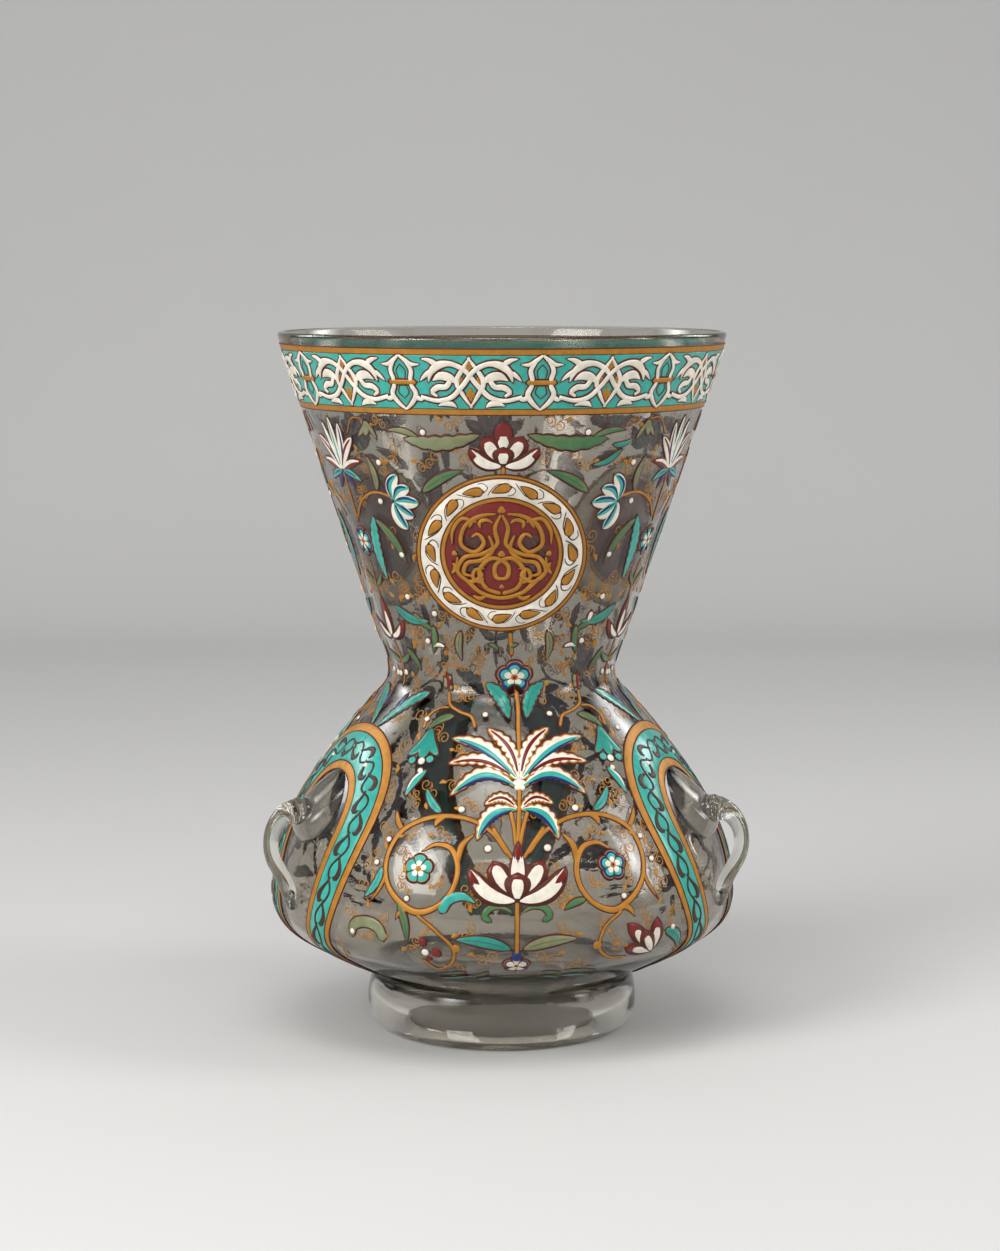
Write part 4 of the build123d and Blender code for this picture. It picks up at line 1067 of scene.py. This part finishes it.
for side in (-1, 1):
    def on(*points):
        return body(points, side)
    one = lambda x, z: body([(x, z)], side)[0]
    stem(on((0.5, 104), (1.2, 112), (2.6, 120)), 1.7)
    stem(on((1.2, 99), (3.6, 105), (7.0, 112.5)), 1.7)
    stroke("line", on(*SCROLL), 2.1, 0.27, edge=0.3)
    stroke("gold", on(*SCROLL), 2.1, 0.42)
    for hook in HOOKS:
        stroke("line", on(*hook), 2.2, 0.25, edge=0.3, ends=(0, 0))
        stroke("gold", on(*hook), 2.2, 0.4, ends=(0, 0))
    stem(on(*TAILS[side]), 1.5)
    bloom("gold", one(19.4 if side > 0 else 14.3, 60), 2.0, 0.42)
    stem(on((33.3, 167), (30.6, 161), (25, 158.4), (19.8, 156.8), (16.8, 152)), 1.4)
    stem(on((30.2, 160), (34.6, 159.6), (38.4, 156.4), (38.2, 150.5)), 1.2)
    for tip, width, bow, colour, heart in PALMETTE:
        start = (0.3, 119.5) if tip[1] < 124 else (0.2, 131 if tip[1] > 130 else 128)
        tones = [(tone, share, shift * -side) for tone, share, shift in heart]
        leaf(colour, one(*start), one(*tip), width, bow * -side, lobes=8, lobe=0.3, trim="gold", heart=tones, rise=0.5, shape=FULL)
    leaf("teal", one(3.6, 156.0), one(14.2, 171), 7.4, 2.2 * side, lobes=6, lobe=0.24, shape=FULL)
    leaf("teal", one(62.5, 148.5), one(43.5, 165.5), 7.2, 2.6 * -side, lobes=8, lobe=0.26, shape=FULL)
    leaf("blue", one(58.5, 156), one(57.5, 164), 3.2, 0, rib=False)
    leaf("green", one(26.6, 156.6), one(36.2, 150.4), 4.2, 1.6 * side)
    leaf("olive", one(35.4, 167.5), one(31.4, 174.5), 4.2, 0.4, rib=False)
    leaf("olive", one(31.2, 167), one(35.8, 173.4), 3.4, 0.4, rib=False)
    leaf("red", one(33.3, 167), one(33.6, 175.5), 2.8, 0, rib=False, rise=0.55)
    for tip, width, bow in (((28.0, 140.4), 4.8, 1.6), ((39.6, 139.2), 4.8, -1.6), ((33.8, 138.2), 7.4, 0)):
        leaf("teal", one(34.6, 151.4), one(*tip), width, bow * side, rib=False, shape=FULL)
    for x, z, tone, size in ((30.6, 138.6, "turquoise", 1.9), (37.0, 137.6, "turquoise", 1.9), (33.4, 137.6, "white", 1.9), (32.6, 133.8, "white", 1.5)):
        bloom("line", one(x, z), size + 0.35, 0.5)
        bloom(tone, one(x, z), size, 0.8)
    leaf("turquoise", one(30.4, 134.5), one(34.4, 122.8), 4.4, 1.4 * side, heart=[("white", 0.3, 0.25 * side)])
    leaf("turquoise", one(21.6, 117.5), one(28.2, 127), 4.0, -1.2 * side)
    leaf("teal", one(21.6, 117.5), one(25.6, 120.8), 2.6, 0.4)
    leaf("red", one(0.4, 84), one(6.2, 98.4), 9.6, -1.0 * side, rib=False, rise=0.50, shape=BLUNT)
    leaf("white", one(0.4, 84), one(5.8, 97.2), 7.8, -0.9 * side, rib=False, rise=0.62, shape=BLUNT)
    leaf("white", one(0.1, 81.6), one(11.8, 95.4), 8.6, -4.0 * side, rib=False, rise=0.76, shape=FULL)
    leaf("red", one(9.2, 88.8), one(11.8, 95.4), 4.2, -0.9 * side, rib=False, rise=0.88)
    hook = on((1.4, 77.0, 0.3), (3.8, 79.2, 0.9), (6.6, 78.2, 1.2), (7.6, 74.8, 1.2), (5.8, 72.6, 0.8))
    stroke("line", hook, 2.6, 0.3, edge=0.32, ends=(0, 1))
    stroke("green", hook, 2.6, 0.46, ends=(0, 1))
    leaf("olive" if side > 0 else "teal", one(1.2, 60), one(14.4, 64.2), 5.8, 1.4 * side)
    dot(one(7.6, 103.6), 1.7)
    dot(one(16.2, 119.2), 1.6)
    for x, z in ((13.8, 157.6), (38.6, 154.6) if side < 0 else (44, 149), (34.6, 105), (36.4, 95), (26.6, 81), (41.2, 63.4)):
        dot(one(x, z), 1.4)
    for x, z, heading, length, hand in (
        (7.2, 144, 20, 8, 1), (17, 131, 100, 11, 1), (12, 122, 100, 10, -1), (5, 116, 10, 9, 1), (14, 141.4, 90, 8, 1),
        (19, 142.6, 80, 7, -1), (29, 146, 20, 11, 1), (22, 163, 60, 11, 1), (10, 163, 30, 10, -1), (42, 158, 200, 12, 1),
        (44, 145, 190, 13, -1), (40, 128, 170, 13, 1), (28, 130, 190, 11, 1), (29, 121, 60, 9, -1), (37, 112, 200, 11, 1),
        (38.4, 100, 190, 13, -1), (38.6, 87, 200, 12, 1), (42, 74, 200, 11, 1), (9, 98, 160, 12, -1), (11.6, 88, 190, 11, 1),
        (30, 103, 200, 11, 1), (29.4, 91, 210, 9, -1), (17.4, 90, 120, 8, 1), (18, 109, 90, 10, -1), (27, 109, 110, 9, 1),
        (4, 93, 100, 7, 1), (9.6, 68.6, 110, 11, 1), (33, 73, 190, 11, -1), (34.6, 64, 110, 9, 1), (23, 62, 120, 10, 1),
        (5, 54.6, 80, 12, 1), (13, 51, 90, 9, -1), (9, 79, 70, 9, 1), (20, 72, 150, 8, 1), (50, 152, 60, 12, 1),
        (52, 165, 30, 10, -1), (24, 176, 40, 10, 1), (14, 181, 20, 8, -1), (42, 172, 20, 10, 1), (46, 56, 160, 9, 1),
    ):
        sprig(one(x, z), heading * side, length, hand * side)
leaf("white", middle_of(84), middle_of(106), 7.6, 0, rib=False, rise=0.5)
leaf("red", middle_of(98), middle_of(106.6), 3.4, 0, rib=False, rise=0.62)
leaf("red", middle_of(81.6), middle_of(93.4), 11.4, 0, rib=False, rise=0.9, shape=BLUNT)
leaf("white", middle_of(81.6), middle_of(91.8), 9.2, 0, rib=False, rise=1.04, shape=BLUNT)
bloom("white", middle_of(129.6), 3.4, 0.62, lobes=5, lobe=0.2)
blossom(middle_of(174), 8.8, 5, turn=0)
blossom(body([(24.6, 94)], -1)[0], 7.2, 5, heart="gold", rim="turquoise")
blossom(body([(24.4, 94.6)], 1)[0], 7.4, 5)
blossom(middle_of(52), 6.4, 5, middle="white", between="white")
bloom("blue", (0.9, 56.2), 2.5, 0.8)

# What grows on one side of the stem only: berries, a crescent leaf and single leaves at the left, a
# tulip and its leaf at the right.
leaf("turquoise", (-33.2, 93.5), (-37.2, 79.5), 4.2, 1.6, lobes=5, lobe=0.14)
leaf("green", (-27.8, 79), (-25.2, 61.5), 4.0, 1.4)
leaf("green", (17.8, 81.2), (12.0, 77.0), 3.4, -1.0)
CRESCENTS = (
    ("olive", 4.6, [(-40.4, 60.5, 0.6), (-40.0, 65.8, 1.1), (-36, 68.6, 1.2), (-32.6, 66.2, 1.2), (-31.4, 60.6, 1.0)]),
    ("turquoise", 4.2, [(-17.0, 75.5, 1.1), (-15.4, 81.4, 1.2), (-11.8, 83.4, 0.9), (-8.6, 80.6, 0.1)]),
)
for tone, width, way in CRESCENTS:
    stroke("line", way, width, 0.3, edge=0.35)
    stroke(tone, way, width, 0.5)
for at, tone, size in (((-21.3, 62), "red", 1.9), ((-20.9, 57.4), "white", 1.8), ((-18.2, 57.2), "red", 2.4), ((-20.3, 54), "red", 1.4)):
    bloom("line", at, size + 0.3, 0.3)
    bloom(tone, at, size, 0.75)
TULIP_FOOT = (36.6, 53.4)
for tip, width, rise in (((28.2, 68.4), 7.4, 0.45), ((37.0, 69.0), 7.4, 0.5), ((28.0, 57.0), 6.6, 0.62), ((32.2, 64.4), 7.4, 0.78)):
    inner_tip = tuple(foot + (end - foot) * 0.78 for foot, end in zip(TULIP_FOOT, tip))
    leaf("red", TULIP_FOOT, tip, width, 0, rib=False, rise=rise, shape=FULL)
    leaf("white", TULIP_FOOT, inner_tip, width * 0.8, 0, rib=False, rise=rise + 0.12, shape=BLUNT)
leaf("teal", (39.4, 62.4), (46.6, 52.0), 5.4, 2.4)
for z in (47.6, 44.2):
    for x in (-12, -6, 8, 14):
        leaf("green" if z > 46 else "teal", (x, z), (x * 1.7, z - 2.4), 2.2, 0.6)
fire("body_plant", list(BODY), [1, SQUEEZE, SQUEEZE], {
    colour: [f"{part}_{panel}" for panel in ("front", "rear_right", "rear_left") for part in parts]
    for colour, parts in {
        "gold": ("stem", "scrolls"), "white": ("palmette", "lotus"), "blue": ("rosette_waist", "rosette_low"),
    }.items()
})
